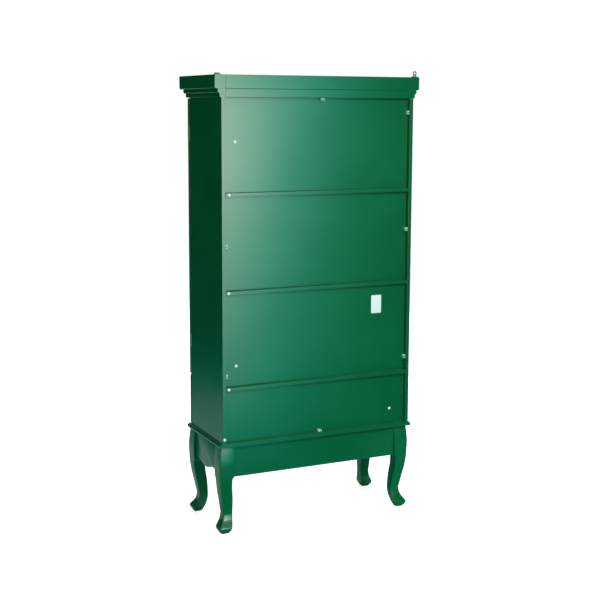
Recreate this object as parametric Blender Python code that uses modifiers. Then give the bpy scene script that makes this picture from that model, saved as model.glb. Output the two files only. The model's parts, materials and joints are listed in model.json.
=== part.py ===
"""Display cabinet on cabriole legs, with a crown, two glazed doors and a drawer.

Units are metres, +Z is up and the front faces -Y. The origin is on the floor, under the
middle of the overall width and depth. Left and right are as seen from the front, so left
is -X. A depth is measured forward from the rear plane, where the side panels, shelves,
crown and base plate all end flush.
"""

import math

import bmesh
import bpy
from mathutils import Vector

# Fits between pieces
FIT = 0.0003
EASE = 0.001
EASE_STEPS = 2
ARC_STEPS = 4

# Carcass
CARCASS_WIDTH = 0.900
CARCASS_DEPTH = 0.369
CARCASS_HEIGHT = 1.4425
BOARD = 0.016
DRAWER_BAY = 0.2235
TOP_BAY_LESS = 0.0035
SHELF_SETBACK = 0.014
BACK_RECESS = 0.019
BACK_THICKNESS = 0.004
BACK_GROOVE = 0.006

# Base plate, legs and aprons
LEG_HEIGHT = 0.383
BASE_THICKNESS = 0.019
BASE_OVERHANG = 0.0123
BASE_NOSE = 0.012
BASE_NOSE_LOW = 0.004
BASE_CORNER = 0.014
LEG_SIDE_INSET = 0.0123
LEG_FRONT_INSET = 0.0183
LEG_REAR_INSET = 0.023
LEG_BLOCK = 0.058
LEG_EAR = 0.021
LEG_EDGE = 0.0045
LEG_EDGE_STEPS = 2
APRON_DEPTH = 0.136
APRON_THICKNESS = 0.018
APRON_INSET = 0.001
SCALLOP_RISE = 0.0175
FRONT_DROP = 0.300
FRONT_OGEE = 0.046
OGEE_STEPS = 8
# A side apron ends a little higher; the shares are of its length, its drop just forward of the middle
SIDE_LIFT = 0.004
SIDE_DROP_SHARE = 0.086
SIDE_OGEE_SHARE = 0.328
SIDE_FORWARD_SHARE = 0.027

# The S of a cabriole leg: share of the leg's height, and how far the face lies inside
# the line that the leg stands on
LEG_OUTER = (
    (0.0, 0.0045),
    (0.026, -0.0025),
    (0.057, -0.0075),
    (0.086, -0.0022),
    (0.117, 0.0063),
    (0.149, 0.0127),
    (0.214, 0.0186),
    (0.282, 0.0148),
    (0.378, 0.0083),
    (0.469, 0.0014),
    (0.587, -0.0046),
    (0.705, -0.0078),
    (0.807, -0.0090),
    (0.914, -0.0062),
    (1.0, -0.0016),
)
LEG_INNER = (
    (0.0, 0.0365),
    (0.039, 0.0445),
    (0.117, 0.0544),
    (0.202, 0.0590),
    (0.378, 0.0565),
    (0.510, 0.0508),
    (0.610, 0.0496),
)
LEG_FOOT_SHARE = 0.16
LEG_ANKLE_SHARE = 0.24
LEG_SECTIONS = {"foot": 8, "ankle": 3, "shin": 7, "ear": 5, "block": 7}

# Crown: for each tier from the bottom, its overhang, height and rounded lower edge
CROWN_TIERS = ((0.0068, 0.0175, 0.005), (0.0150, 0.0177, 0.007), (0.028, 0.0562, 0.0075))
CROWN_FRONT_LIP = 0.0228
CROWN_INNER = 0.019
CROWN_RAIL = 0.018
TOP_BOARD = 0.012

# Doors
DOOR_THICKNESS = 0.0195
DOOR_REVEAL = 0.003
DOOR_DRAWER_GAP = 0.004
DIVIDER_COVER = 0.002
STILE = 0.060
TOP_RAIL = 0.060
BOTTOM_RAIL = 0.080
SIGHT_LIP = 0.009
SIGHT_CHAMFER = 0.004
GLASS_REBATE = 0.009
GLASS = 0.004
GLAZING_BAR = 0.016
BAR_SETBACK = 0.002

# Hinges
HINGE_LENGTH = 0.060
HINGE_END = 0.150
LEAF_MARGIN = 0.0007
LEAF_THICKNESS = 0.0008
LEAF_GAP = 0.0004
HINGE_AXIS_INSET = 0.0008
BARREL_RADIUS = 0.0018
PIN_RADIUS = 0.0009
PIN_CLEARANCE = 0.00015
HINGE_SIDES = 16

# Drawer
DRAWER_FRONT = 0.016
DRAWER_FRONT_REVEAL = 0.003
DRAWER_SIDE = 0.012
DRAWER_SIDE_GAP = 0.0015
DRAWER_REAR_GAP = 0.018
DRAWER_BOTTOM = 0.005
DRAWER_BOTTOM_RAISE = 0.010
DRAWER_GROOVE = 0.005
DRAWER_KICK_GAP = 0.006
DRAWER_BACK_DROP = 0.012
RUNNER_WIDTH = 0.020
RUNNER_HEIGHT = 0.020
RUNNER_SETBACK = 0.010

# Knobs
KNOB_PROJECTION = 0.0222
KNOB_RADIUS = 0.0125
KNOB_BALL_HEIGHT = 0.0156
KNOB_NECK = 0.0055
KNOB_ROSE = 0.0095
KNOB_ROSE_HEIGHT = 0.003
KNOB_ROSE_EDGE = 0.0018
KNOB_STEPS = 5
KNOB_SIDES = 20
DOOR_KNOB_RAISE = 0.4335
DRAWER_KNOB_SPACING = 0.440

# Anti-tip eyes on the crown
EYE_SIDE_INSET = 0.017
EYE_DEPTH = 0.012
EYE_PLATE_WIDTH = 0.028
EYE_PLATE_DEPTH = 0.014
EYE_PLATE_THICKNESS = 0.0015
EYE_SWING_GAP = 0.0007
EYE_EAR_WALL = 0.0015
EYE_EAR_THICKNESS = 0.002
EYE_EAR_SPACING = 0.012
EYE_PIN_RADIUS = 0.0013
EYE_PIN_CLEARANCE = 0.0002
EYE_PIN_END = 0.0005
EYE_RING_RADIUS = 0.0072
EYE_WIRE_RADIUS = 0.0023
EYE_NECK_RADIUS = 0.0021
EYE_SIDES = 20
EYE_WIRE_SIDES = 8

# Places that follow from the sizes above
HALF_WIDTH = CARCASS_WIDTH / 2
INNER_HALF = HALF_WIDTH - BOARD
BASE_TOP = LEG_HEIGHT + BASE_THICKNESS
DIVIDER_BOTTOM = BASE_TOP + DRAWER_BAY
DIVIDER_TOP = DIVIDER_BOTTOM + BOARD
CROWN_BOTTOM = BASE_TOP + CARCASS_HEIGHT
SHELF_BAY = (CROWN_BOTTOM - DIVIDER_TOP - 2 * BOARD + TOP_BAY_LESS) / 3
LOWER_SHELF_BOTTOM = DIVIDER_TOP + SHELF_BAY
LOWER_SHELF_TOP = LOWER_SHELF_BOTTOM + BOARD
UPPER_SHELF_BOTTOM = LOWER_SHELF_TOP + SHELF_BAY
UPPER_SHELF_TOP = UPPER_SHELF_BOTTOM + BOARD
CROWN_TOP = CROWN_BOTTOM + sum(height for overhang, height, radius in CROWN_TIERS)
CROWN_JOINT = CROWN_TOP - CROWN_TIERS[-1][1]
CROWN_OVERHANG = CROWN_TIERS[-1][0]
DOOR_GAP = 2 * LEAF_THICKNESS + LEAF_GAP + 2 * FIT
DOOR_BACK = CARCASS_DEPTH + DOOR_GAP
DOOR_FRONT = DOOR_BACK + DOOR_THICKNESS
DOOR_TOP = CROWN_BOTTOM - DOOR_REVEAL
DRAWER_FRONT_TOP = DIVIDER_BOTTOM + DIVIDER_COVER
DOOR_BOTTOM = DRAWER_FRONT_TOP + DOOR_DRAWER_GAP
CROWN_FRONT = DOOR_FRONT + CROWN_FRONT_LIP
CROWN_FRONT_LINE = CROWN_FRONT - CROWN_OVERHANG
REAR_Y = CROWN_FRONT / 2
BASE_HALF = HALF_WIDTH + BASE_OVERHANG
BASE_FRONT = DOOR_FRONT + BASE_OVERHANG
LEG_LINE_X = BASE_HALF - LEG_SIDE_INSET
LEG_LINE_FRONT = BASE_FRONT - LEG_FRONT_INSET
LEG_LINE_REAR = LEG_REAR_INSET
LEG_TOP = LEG_HEIGHT - FIT
APRON_BOTTOM = LEG_HEIGHT - APRON_DEPTH
BACK_FRONT = BACK_RECESS + BACK_THICKNESS
HINGE_AXIS_X = HALF_WIDTH - HINGE_AXIS_INSET
HINGE_AXIS_DEPTH = CARCASS_DEPTH + DOOR_GAP / 2
HINGE_LEAF = BOARD - HINGE_AXIS_INSET - LEAF_MARGIN
EYE_X = HALF_WIDTH + CROWN_OVERHANG - EYE_SIDE_INSET
EYE_PIVOT_HEIGHT = EYE_PLATE_THICKNESS + EYE_SWING_GAP + EYE_WIRE_RADIUS
EYE_EAR = EYE_PIN_RADIUS + EYE_EAR_WALL
EYE_RING_CENTRE = EYE_EAR + EYE_PIN_CLEARANCE + EYE_RING_RADIUS + EYE_WIRE_RADIUS
EYE_PIN_LENGTH = EYE_EAR_SPACING + EYE_EAR_THICKNESS + 2 * EYE_PIN_END

# The hinge barrel lies between the panel's and the door's front edges, which are rounded
# just enough to clear it
BARREL_REACH = BARREL_RADIUS + FIT
EDGE_OFFSET = BARREL_REACH + HINGE_AXIS_INSET - DOOR_GAP / 2
FRONT_EDGE_RADIUS = EDGE_OFFSET + math.sqrt(
    EDGE_OFFSET**2 + BARREL_REACH**2 - HINGE_AXIS_INSET**2 - (DOOR_GAP / 2) ** 2
)

SIDES = {"left": -1, "right": 1}

# Finishes: colour, roughness and metallic value
PAINT = ("satin_green_paint", (0.004, 0.165, 0.075, 1.0), 0.35, 0.0)
GLASS_FINISH = ("clear_glass", (0.80, 0.88, 0.86, 1.0), 0.05, 0.0)
BRASS = ("aged_brass", (0.52, 0.36, 0.13, 1.0), 0.35, 1.0)
STEEL = ("dark_steel", (0.10, 0.10, 0.11, 1.0), 0.40, 1.0)


def clear_scene():
    """Start from an empty scene with one collection for the parts and one for cutters."""
    for old in list(bpy.data.objects):
        bpy.data.objects.remove(old, do_unlink=True)
    made = []
    for name in ("display_cabinet", "cutters"):
        collection = bpy.data.collections.new(name)
        bpy.context.scene.collection.children.link(collection)
        made.append(collection)
    return made


PARTS, CUTTERS = clear_scene()


def finish(values):
    """The material of a finish, made on first use."""
    name, colour, roughness, metallic = values
    known = bpy.data.materials.get(name)
    if known:
        return known
    made = bpy.data.materials.new(name)
    made.use_nodes = True
    shader = made.node_tree.nodes["Principled BSDF"]
    shader.inputs["Base Color"].default_value = colour
    shader.inputs["Roughness"].default_value = roughness
    shader.inputs["Metallic"].default_value = metallic
    made.diffuse_color = colour
    return made


def empty(name, x=0.0, depth=None, z=0.0):
    """A parent for pieces that move together, on their joint's axis."""
    holder = bpy.data.objects.new(name, None)
    holder.location = (x, 0.0 if depth is None else REAR_Y - depth, z)
    PARTS.objects.link(holder)
    return holder


CABINET = empty("cabinet")


def add_piece(name, mesh, centre, values, parent=CABINET):
    """A named piece whose mesh is drawn about centre, given as x, depth and z."""
    piece = bpy.data.objects.new(name, mesh)
    x, depth, z = centre
    piece.parent = parent
    piece.location = Vector((x, REAR_Y - depth, z)) - parent.location
    if values:
        mesh.materials.append(finish(values))
        PARTS.objects.link(piece)
    else:
        piece.hide_render = True
        piece.display_type = "WIRE"
        CUTTERS.objects.link(piece)
    return piece


def mesh_from(shape, name):
    """A mesh data block from a bmesh, with its faces pointing out."""
    bmesh.ops.recalc_face_normals(shape, faces=shape.faces)
    if shape.calc_volume(signed=True) < 0:
        bmesh.ops.reverse_faces(shape, faces=shape.faces)
    mesh = bpy.data.meshes.new(name)
    shape.to_mesh(mesh)
    shape.free()
    return mesh


def shade_round(piece, angle=math.radians(40)):
    """Smooth shading with the corners kept sharp."""
    piece.data.shade_smooth()
    piece.data.set_sharp_from_angle(angle=angle)


def ease_edges(piece, width=EASE, steps=EASE_STEPS):
    """Soften the edges of a board, as sanding before paint does."""
    bevel = piece.modifiers.new("eased_edges", "BEVEL")
    bevel.width = width
    bevel.segments = steps
    bevel.limit_method = "ANGLE"
    bevel.angle_limit = math.radians(40)


def board(name, x, depth, z, values=PAINT, parent=CABINET, ease=EASE):
    """A flat board between two x, two depths and two heights."""
    size = Vector((x[1] - x[0], depth[1] - depth[0], z[1] - z[0]))
    shape = bmesh.new()
    bmesh.ops.create_cube(shape, size=1.0)
    bmesh.ops.scale(shape, vec=size, verts=shape.verts)
    centre = (sum(x) / 2, sum(depth) / 2, sum(z) / 2)
    piece = add_piece(name, mesh_from(shape, name), centre, values, parent)
    if values and ease:
        ease_edges(piece, ease)
    return piece


def box_cutter(name, x, depth, z, parent=CABINET):
    """A hidden box for cutting."""
    return board(name, x, depth, z, values=None, parent=parent)


def combine(piece, tool, operation):
    """Cut a piece with a tool, or join the tool to it."""
    step = piece.modifiers.new(tool.name, "BOOLEAN")
    step.operation = operation
    step.solver = "EXACT"
    step.object = tool


def rounded(corners, steps=ARC_STEPS):
    """Outline points for corners given as (u, v, radius), each corner turned on an arc."""
    points = []
    count = len(corners)
    for index, (u, v, radius) in enumerate(corners):
        corner = Vector((u, v))
        if radius == 0:
            points.append(corner)
            continue
        before = (Vector(corners[index - 1][:2]) - corner).normalized()
        after = (Vector(corners[(index + 1) % count][:2]) - corner).normalized()
        half = before.angle(after) / 2
        start = corner + before * radius / math.tan(half)
        end = corner + after * radius / math.tan(half)
        centre = corner + (before + after).normalized() * radius / math.sin(half)
        from_centre = start - centre
        sweep = from_centre.angle_signed(end - centre)
        for step in range(steps + 1):
            turn = -sweep * step / steps
            cosine, sine = math.cos(turn), math.sin(turn)
            points.append(
                centre
                + Vector(
                    (
                        from_centre.x * cosine - from_centre.y * sine,
                        from_centre.x * sine + from_centre.y * cosine,
                    )
                )
            )
    return points


# How an outline stands: which way its u, its v and its thickness run
PLAN = ((1, 0, 0), (0, -1, 0), (0, 0, 1))
FACING_FRONT = ((1, 0, 0), (0, 0, 1), (0, 1, 0))
FACING_SIDE = ((0, -1, 0), (0, 0, 1), (1, 0, 0))


def outline_mesh(name, points, thickness, stand):
    """A flat outline, filled and given its thickness, stood up the way it is used."""
    curve = bpy.data.curves.new(name, "CURVE")
    curve.dimensions = "2D"
    curve.fill_mode = "BOTH"
    curve.extrude = thickness / 2
    spline = curve.splines.new("POLY")
    spline.points.add(len(points) - 1)
    for target, point in zip(spline.points, points):
        target.co = (point[0], point[1], 0.0, 1.0)
    spline.use_cyclic_u = True
    drawn = bpy.data.objects.new(name, curve)
    bpy.context.scene.collection.objects.link(drawn)
    evaluated = drawn.evaluated_get(bpy.context.evaluated_depsgraph_get())
    flat = bpy.data.meshes.new_from_object(evaluated)
    bpy.data.objects.remove(drawn, do_unlink=True)
    bpy.data.curves.remove(curve)
    shape = bmesh.new()
    shape.from_mesh(flat)
    bpy.data.meshes.remove(flat)
    bmesh.ops.remove_doubles(shape, verts=shape.verts, dist=FIT / 30)
    along_u, along_v, through = (Vector(way) for way in stand)
    for vert in shape.verts:
        vert.co = along_u * vert.co.x + along_v * vert.co.y + through * vert.co.z
    return mesh_from(shape, name)


def turned_mesh(name, profile, sides):
    """A shape turned about Z from a profile of (radius, height), drawn from the top down."""
    mesh = bpy.data.meshes.new(name)
    edges = [(index, index + 1) for index in range(len(profile) - 1)]
    mesh.from_pydata([(radius, 0.0, height) for radius, height in profile], edges, [])
    drawn = bpy.data.objects.new(name, mesh)
    bpy.context.scene.collection.objects.link(drawn)
    screw = drawn.modifiers.new("turn", "SCREW")
    screw.steps = sides
    screw.render_steps = sides
    screw.use_merge_vertices = True
    screw.merge_threshold = FIT / 30
    evaluated = drawn.evaluated_get(bpy.context.evaluated_depsgraph_get())
    turned = bpy.data.meshes.new_from_object(evaluated)
    bpy.data.objects.remove(drawn, do_unlink=True)
    bpy.data.meshes.remove(mesh)
    shape = bmesh.new()
    shape.from_mesh(turned)
    bpy.data.meshes.remove(turned)
    bmesh.ops.remove_doubles(shape, verts=shape.verts, dist=FIT / 30)
    return mesh_from(shape, name)


def rod(shape, radius, start, end, sides):
    """Add a capped cylinder between two points of a bmesh."""
    start, end = Vector(start), Vector(end)
    along = end - start
    turn = Vector((0, 0, 1)).rotation_difference(along).to_matrix().to_4x4()
    turn.translation = (start + end) / 2
    bmesh.ops.create_cone(
        shape,
        cap_ends=True,
        segments=sides,
        radius1=radius,
        radius2=radius,
        depth=along.length,
        matrix=turn,
    )


def rod_cutter(name, radius, start, end, sides, centre, parent=CABINET):
    """A hidden cylinder for joining or cutting, about centre."""
    shape = bmesh.new()
    rod(shape, radius, start, end, sides)
    return add_piece(name, mesh_from(shape, name), centre, None, parent)


def make_carcass():
    """Side panels, shelves, divider, top and the four back panels."""
    side_low, side_high = BASE_TOP + FIT, CROWN_BOTTOM - FIT
    for side, sign in SIDES.items():
        corners = [
            (-BOARD / 2, 0, EASE),
            (BOARD / 2, 0, EASE),
            (BOARD / 2, CARCASS_DEPTH, FRONT_EDGE_RADIUS),
            (-BOARD / 2, CARCASS_DEPTH, EASE),
            (-BOARD / 2, BACK_FRONT + FIT, 0),
            (-BOARD / 2 + BACK_GROOVE, BACK_FRONT + FIT, 0),
            (-BOARD / 2 + BACK_GROOVE, BACK_RECESS - FIT, 0),
            (-BOARD / 2, BACK_RECESS - FIT, 0),
        ]
        points = [(sign * point.x, point.y) for point in rounded(corners)]
        mesh = outline_mesh(f"side_panel_{side}", points, side_high - side_low, PLAN)
        centre = (sign * (HALF_WIDTH - BOARD / 2), 0, (side_low + side_high) / 2)
        add_piece(f"side_panel_{side}", mesh, centre, PAINT)

    across = (-INNER_HALF + FIT, INNER_HALF - FIT)
    shelf_depth = (0, CARCASS_DEPTH - SHELF_SETBACK)
    board("shelf_upper", across, shelf_depth, (UPPER_SHELF_BOTTOM, UPPER_SHELF_TOP))
    board("shelf_lower", across, shelf_depth, (LOWER_SHELF_BOTTOM, LOWER_SHELF_TOP))
    board("drawer_divider", across, (0, CARCASS_DEPTH), (DIVIDER_BOTTOM, DIVIDER_TOP))
    top_depth = (BACK_FRONT + FIT, CARCASS_DEPTH)
    board("carcass_top", across, top_depth, (CROWN_BOTTOM - BOARD, CROWN_BOTTOM - FIT))

    reach = INNER_HALF + BACK_GROOVE - FIT
    bays = {
        "back_panel_drawer": (BASE_TOP, DIVIDER_BOTTOM),
        "back_panel_lower": (DIVIDER_TOP, LOWER_SHELF_BOTTOM),
        "back_panel_middle": (LOWER_SHELF_TOP, UPPER_SHELF_BOTTOM),
        "back_panel_upper": (UPPER_SHELF_TOP, CROWN_BOTTOM),
    }
    for name, (low, high) in bays.items():
        board(name, (-reach, reach), (BACK_RECESS, BACK_FRONT), (low + FIT, high - FIT), ease=0)


def crown_profile():
    """The crown in section: (overhang, height above its underside), inner side last."""
    corners = []
    height = 0.0
    for overhang, rise, radius in CROWN_TIERS:
        if not corners:
            corners.append((-CROWN_INNER, 0.0, 0))
        corners.append((overhang, height, radius))
        height += rise
        corners.append((overhang, height, 0))
    corners[-1] = (CROWN_OVERHANG, height, EASE)
    corners.append((-CROWN_INNER, height, 0))
    return rounded(corners)


def moulding(name, profile, start, end):
    """Draw a profile out from its start face to its end face, which may be mitred."""
    shape = bmesh.new()
    ring = [shape.verts.new(start(overhang, height)) for overhang, height in profile]
    face = shape.faces.new(ring)
    drawn = bmesh.ops.extrude_face_region(shape, geom=[face])["geom"]
    moved = [item for item in drawn if isinstance(item, bmesh.types.BMVert)]
    for vert in moved:
        nearest = min(range(len(profile)), key=lambda k: (ring[k].co - vert.co).length)
        vert.co = end(*profile[nearest])
    return add_piece(name, mesh_from(shape, name), (0, 0, CROWN_BOTTOM), PAINT)


def make_crown():
    """Mitred mouldings on three sides, flat rails at the rear and a board on top."""
    profile = crown_profile()
    mitre = FIT * math.sqrt(0.5)
    for side, sign in SIDES.items():

        def at_rear(overhang, height):
            return (sign * (HALF_WIDTH + overhang), 0, height)

        def at_mitre(overhang, height):
            return (sign * (HALF_WIDTH + overhang), -(CROWN_FRONT_LINE + overhang - mitre), height)

        moulding(f"crown_{side}", profile, at_rear, at_mitre)

    def front_left(overhang, height):
        return (-(HALF_WIDTH + overhang - mitre), -(CROWN_FRONT_LINE + overhang), height)

    def front_right(overhang, height):
        return (HALF_WIDTH + overhang - mitre, -(CROWN_FRONT_LINE + overhang), height)

    moulding("crown_front", profile, front_left, front_right)
    reach = HALF_WIDTH - CROWN_INNER - FIT
    across = (-reach, reach)
    board("crown_rear_rail_lower", across, (0, CROWN_RAIL), (CROWN_BOTTOM, CROWN_JOINT - FIT))
    board("crown_rear_rail_upper", across, (0, CROWN_RAIL), (CROWN_JOINT, CROWN_TOP))
    top_depth = (CROWN_RAIL + FIT, CROWN_FRONT_LINE - CROWN_INNER - FIT)
    board("top_board", across, top_depth, (CROWN_TOP - TOP_BOARD, CROWN_TOP))


def skin(shape, rings):
    """Join rings of vertices into a closed body."""
    count = len(rings[0])
    for below, above in zip(rings, rings[1:]):
        for index in range(count):
            after = (index + 1) % count
            shape.faces.new((below[index], below[after], above[after], above[index]))
    shape.faces.new(rings[0])
    shape.faces.new(rings[-1])


def base_outline(inset):
    """Plan of the base plate, drawn in by an inset on its sides and front."""
    half, front = BASE_HALF - inset, BASE_FRONT - inset
    corner = BASE_CORNER - inset
    square = [(half, 0, 0), (half, front, corner), (-half, front, corner), (-half, 0, 0)]
    return rounded(square)


def make_base_plate():
    """The board under the carcass, its nose rounded well over above and a little below."""
    low = (BASE_NOSE_LOW, BASE_NOSE_LOW, -math.pi / 2)
    high = (BASE_NOSE, BASE_THICKNESS - BASE_NOSE, 0.0)
    shape = bmesh.new()
    rings = []
    for radius, centre, start in (low, high):
        for step in range(ARC_STEPS + 1):
            turn = start + math.pi / 2 * step / ARC_STEPS
            height = centre + radius * math.sin(turn)
            plan = base_outline(radius * (1 - math.cos(turn)))
            rings.append([shape.verts.new((x, -depth, height)) for x, depth in plan])
    skin(shape, rings)
    plate = add_piece("base_plate", mesh_from(shape, "base_plate"), (0, 0, LEG_HEIGHT), PAINT)
    shade_round(plate)


def smooth_through(stations, share):
    """Value at a share of the way along a smooth curve through (share, value) stations."""
    shares = [station[0] for station in stations]
    values = [station[1] for station in stations]
    last = len(stations) - 1

    def slope(index):
        low, high = max(index - 1, 0), min(index + 1, last)
        return (values[high] - values[low]) / (shares[high] - shares[low])

    if share >= shares[last]:
        return values[last]
    span = next(index for index in range(last) if share <= shares[index + 1])
    width = shares[span + 1] - shares[span]
    t = (share - shares[span]) / width
    return (
        (2 * t**3 - 3 * t**2 + 1) * values[span]
        + (t**3 - 2 * t**2 + t) * width * slope(span)
        + (3 * t**2 - 2 * t**3) * values[span + 1]
        + (t**3 - t**2) * width * slope(span + 1)
    )


def leg_inner(height):
    """Inset of the leg's inner faces: the S below, the square block beside the aprons above."""
    free = smooth_through(LEG_INNER, height / LEG_HEIGHT)
    above_ear = (height - APRON_BOTTOM + LEG_EAR) / LEG_EAR
    if above_ear <= 0:
        return free
    swell = 1 - math.sqrt(1 - min(above_ear, 1.0) ** 2)
    return free + (LEG_BLOCK - free) * swell


def leg_heights():
    """Heights of the sections that a leg is drawn through, closer where it turns quickly."""
    tops = {
        "foot": LEG_FOOT_SHARE * LEG_HEIGHT,
        "ankle": LEG_ANKLE_SHARE * LEG_HEIGHT,
        "shin": APRON_BOTTOM - LEG_EAR,
        "ear": APRON_BOTTOM,
        "block": LEG_TOP,
    }
    heights = [0.0]
    for run, high in tops.items():
        low, steps = heights[-1], LEG_SECTIONS[run]
        heights += [low + (high - low) * step / steps for step in range(1, steps + 1)]
    return heights


def make_leg(name, sign, from_front):
    """A cabriole leg lofted through rounded square sections, the same S to both sides."""
    shape = bmesh.new()
    rings = []
    for height in leg_heights():
        outer = smooth_through(LEG_OUTER, height / LEG_HEIGHT)
        inner = leg_inner(height)
        square = [
            (outer, outer, LEG_EDGE),
            (inner, outer, LEG_EDGE),
            (inner, inner, LEG_EDGE),
            (outer, inner, LEG_EDGE),
        ]
        ring = []
        for inset_x, inset_y in rounded(square, LEG_EDGE_STEPS):
            along = inset_y if from_front else -inset_y
            ring.append(shape.verts.new((-sign * inset_x, along, height - LEG_HEIGHT)))
        rings.append(ring)
    skin(shape, rings)
    depth = LEG_LINE_FRONT if from_front else LEG_LINE_REAR
    leg = add_piece(name, mesh_from(shape, name), (sign * LEG_LINE_X, depth, LEG_HEIGHT), PAINT)
    shade_round(leg)


def scalloped(length, bottom, drop, ogee, forward=0.0):
    """Apron outline about its middle: a drop between two ogee curves."""
    half = length / 2
    low = bottom - LEG_HEIGHT
    points = [(half, -FIT), (half, low + SCALLOP_RISE)]
    start = drop / 2 + ogee
    curve = []
    for step in range(OGEE_STEPS + 1):
        share = step / OGEE_STEPS
        rise = SCALLOP_RISE * (1 + math.cos(math.pi * share)) / 2
        curve.append((start - ogee * share, rise))
    points += [(forward + u, low + rise) for u, rise in curve]
    points += [(forward - u, low + rise) for u, rise in reversed(curve)]
    points += [(-half, low + SCALLOP_RISE), (-half, -FIT)]
    return points


def make_base():
    """Base plate, legs and the aprons between them."""
    make_base_plate()
    for side, sign in SIDES.items():
        make_leg(f"leg_front_{side}", sign, True)
        make_leg(f"leg_rear_{side}", sign, False)
    wide = 2 * (LEG_LINE_X - LEG_BLOCK - FIT)
    deep_from = LEG_LINE_REAR + LEG_BLOCK + FIT
    deep_to = LEG_LINE_FRONT - LEG_BLOCK - FIT
    front_depth = LEG_LINE_FRONT - APRON_INSET - APRON_THICKNESS / 2
    outline = scalloped(wide, APRON_BOTTOM, FRONT_DROP, FRONT_OGEE)
    front = outline_mesh("apron_front", outline, APRON_THICKNESS, FACING_FRONT)
    add_piece("apron_front", front, (0, front_depth, LEG_HEIGHT), PAINT)
    for side, sign in SIDES.items():
        name = f"apron_{side}"
        deep = deep_to - deep_from
        shares = (SIDE_DROP_SHARE, SIDE_OGEE_SHARE, SIDE_FORWARD_SHARE)
        outline = scalloped(deep, APRON_BOTTOM + SIDE_LIFT, *(share * deep for share in shares))
        mesh = outline_mesh(name, outline, APRON_THICKNESS, FACING_SIDE)
        x = sign * (LEG_LINE_X - APRON_INSET - APRON_THICKNESS / 2)
        add_piece(name, mesh, (x, (deep_from + deep_to) / 2, LEG_HEIGHT), PAINT)
    rear = LEG_LINE_REAR + APRON_INSET
    board(
        "apron_rear",
        (-wide / 2, wide / 2),
        (rear, rear + APRON_THICKNESS),
        (APRON_BOTTOM, LEG_HEIGHT - FIT),
    )


def knob_mesh(name):
    """A turned knob on a small rose, its axis along the depth."""
    middle = KNOB_PROJECTION - KNOB_BALL_HEIGHT / 2
    at_neck = math.pi - math.asin(KNOB_NECK / KNOB_RADIUS)
    profile = [(0.0, KNOB_PROJECTION)]
    for step in range(1, KNOB_STEPS + 1):
        turn = at_neck * step / KNOB_STEPS
        height = middle + KNOB_BALL_HEIGHT / 2 * math.cos(turn)
        profile.append((KNOB_RADIUS * math.sin(turn), height))
    profile += [
        (KNOB_NECK, KNOB_ROSE_HEIGHT),
        (KNOB_ROSE, KNOB_ROSE_EDGE),
        (KNOB_ROSE, FIT),
        (0.0, FIT),
    ]
    mesh = turned_mesh(name, profile, KNOB_SIDES)
    for vert in mesh.vertices:
        vert.co = Vector((vert.co.x, -vert.co.z, vert.co.y))
    return mesh


def add_knob(name, x, depth, z, parent):
    """A knob on the face of a door or drawer."""
    knob = add_piece(name, knob_mesh(name), (x, depth, z), BRASS, parent)
    shade_round(knob)


def leaf_outline(sign, knuckles):
    """Hinge leaf seen from the front: it reaches the barrel only at its own knuckles."""
    third = HINGE_LENGTH / 3
    clear = BARREL_RADIUS + FIT
    points = []
    low = -HINGE_LENGTH / 2
    for index in range(3):
        reach = 0.0 if knuckles[index] else clear
        trim = FIT if knuckles[index] else 0.0
        first = low + index * third + (trim if index else 0.0)
        last = low + (index + 1) * third - (trim if index < 2 else 0.0)
        points += [(-sign * reach, first), (-sign * reach, last)]
    points += [(-sign * HINGE_LEAF, -low), (-sign * HINGE_LEAF, low)]
    return points


def make_hinge(name, sign, z, door):
    """A butt hinge in the gap behind the door: a leaf on the carcass and one on the door."""
    third = HINGE_LENGTH / 3
    half = HINGE_LENGTH / 2
    axis = (sign * HINGE_AXIS_X, HINGE_AXIS_DEPTH, z)
    inset = DOOR_GAP / 2 - FIT - LEAF_THICKNESS / 2

    fixed_name = f"{name}_leaf_fixed"
    plate = outline_mesh(
        fixed_name, leaf_outline(sign, (True, False, True)), LEAF_THICKNESS, FACING_FRONT
    )
    fixed = add_piece(fixed_name, plate, (axis[0], HINGE_AXIS_DEPTH - inset, z), BRASS)
    pin = rod_cutter(f"{name}_pin", PIN_RADIUS, (0, 0, -half), (0, 0, half), HINGE_SIDES, axis)
    for label, low in (("lower", -half), ("upper", half - third)):
        high = low + third
        inner_low = low + (FIT if low > -half else 0.0)
        inner_high = high - (FIT if high < half else 0.0)
        knuckle = rod_cutter(
            f"{name}_knuckle_{label}",
            BARREL_RADIUS,
            (0, 0, inner_low),
            (0, 0, inner_high),
            HINGE_SIDES,
            axis,
        )
        combine(fixed, knuckle, "UNION")
    combine(fixed, pin, "UNION")

    moving_name = f"{name}_leaf_moving"
    plate = outline_mesh(
        moving_name, leaf_outline(sign, (False, True, False)), LEAF_THICKNESS, FACING_FRONT
    )
    moving = add_piece(moving_name, plate, (axis[0], HINGE_AXIS_DEPTH + inset, z), BRASS, door)
    middle = rod_cutter(
        f"{name}_knuckle_middle",
        BARREL_RADIUS,
        (0, 0, -third / 2 + FIT),
        (0, 0, third / 2 - FIT),
        HINGE_SIDES,
        axis,
        door,
    )
    bore = rod_cutter(
        f"{name}_bore",
        PIN_RADIUS + PIN_CLEARANCE,
        (0, 0, -half),
        (0, 0, half),
        HINGE_SIDES,
        axis,
        door,
    )
    combine(moving, middle, "UNION")
    combine(moving, bore, "DIFFERENCE")


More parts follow.
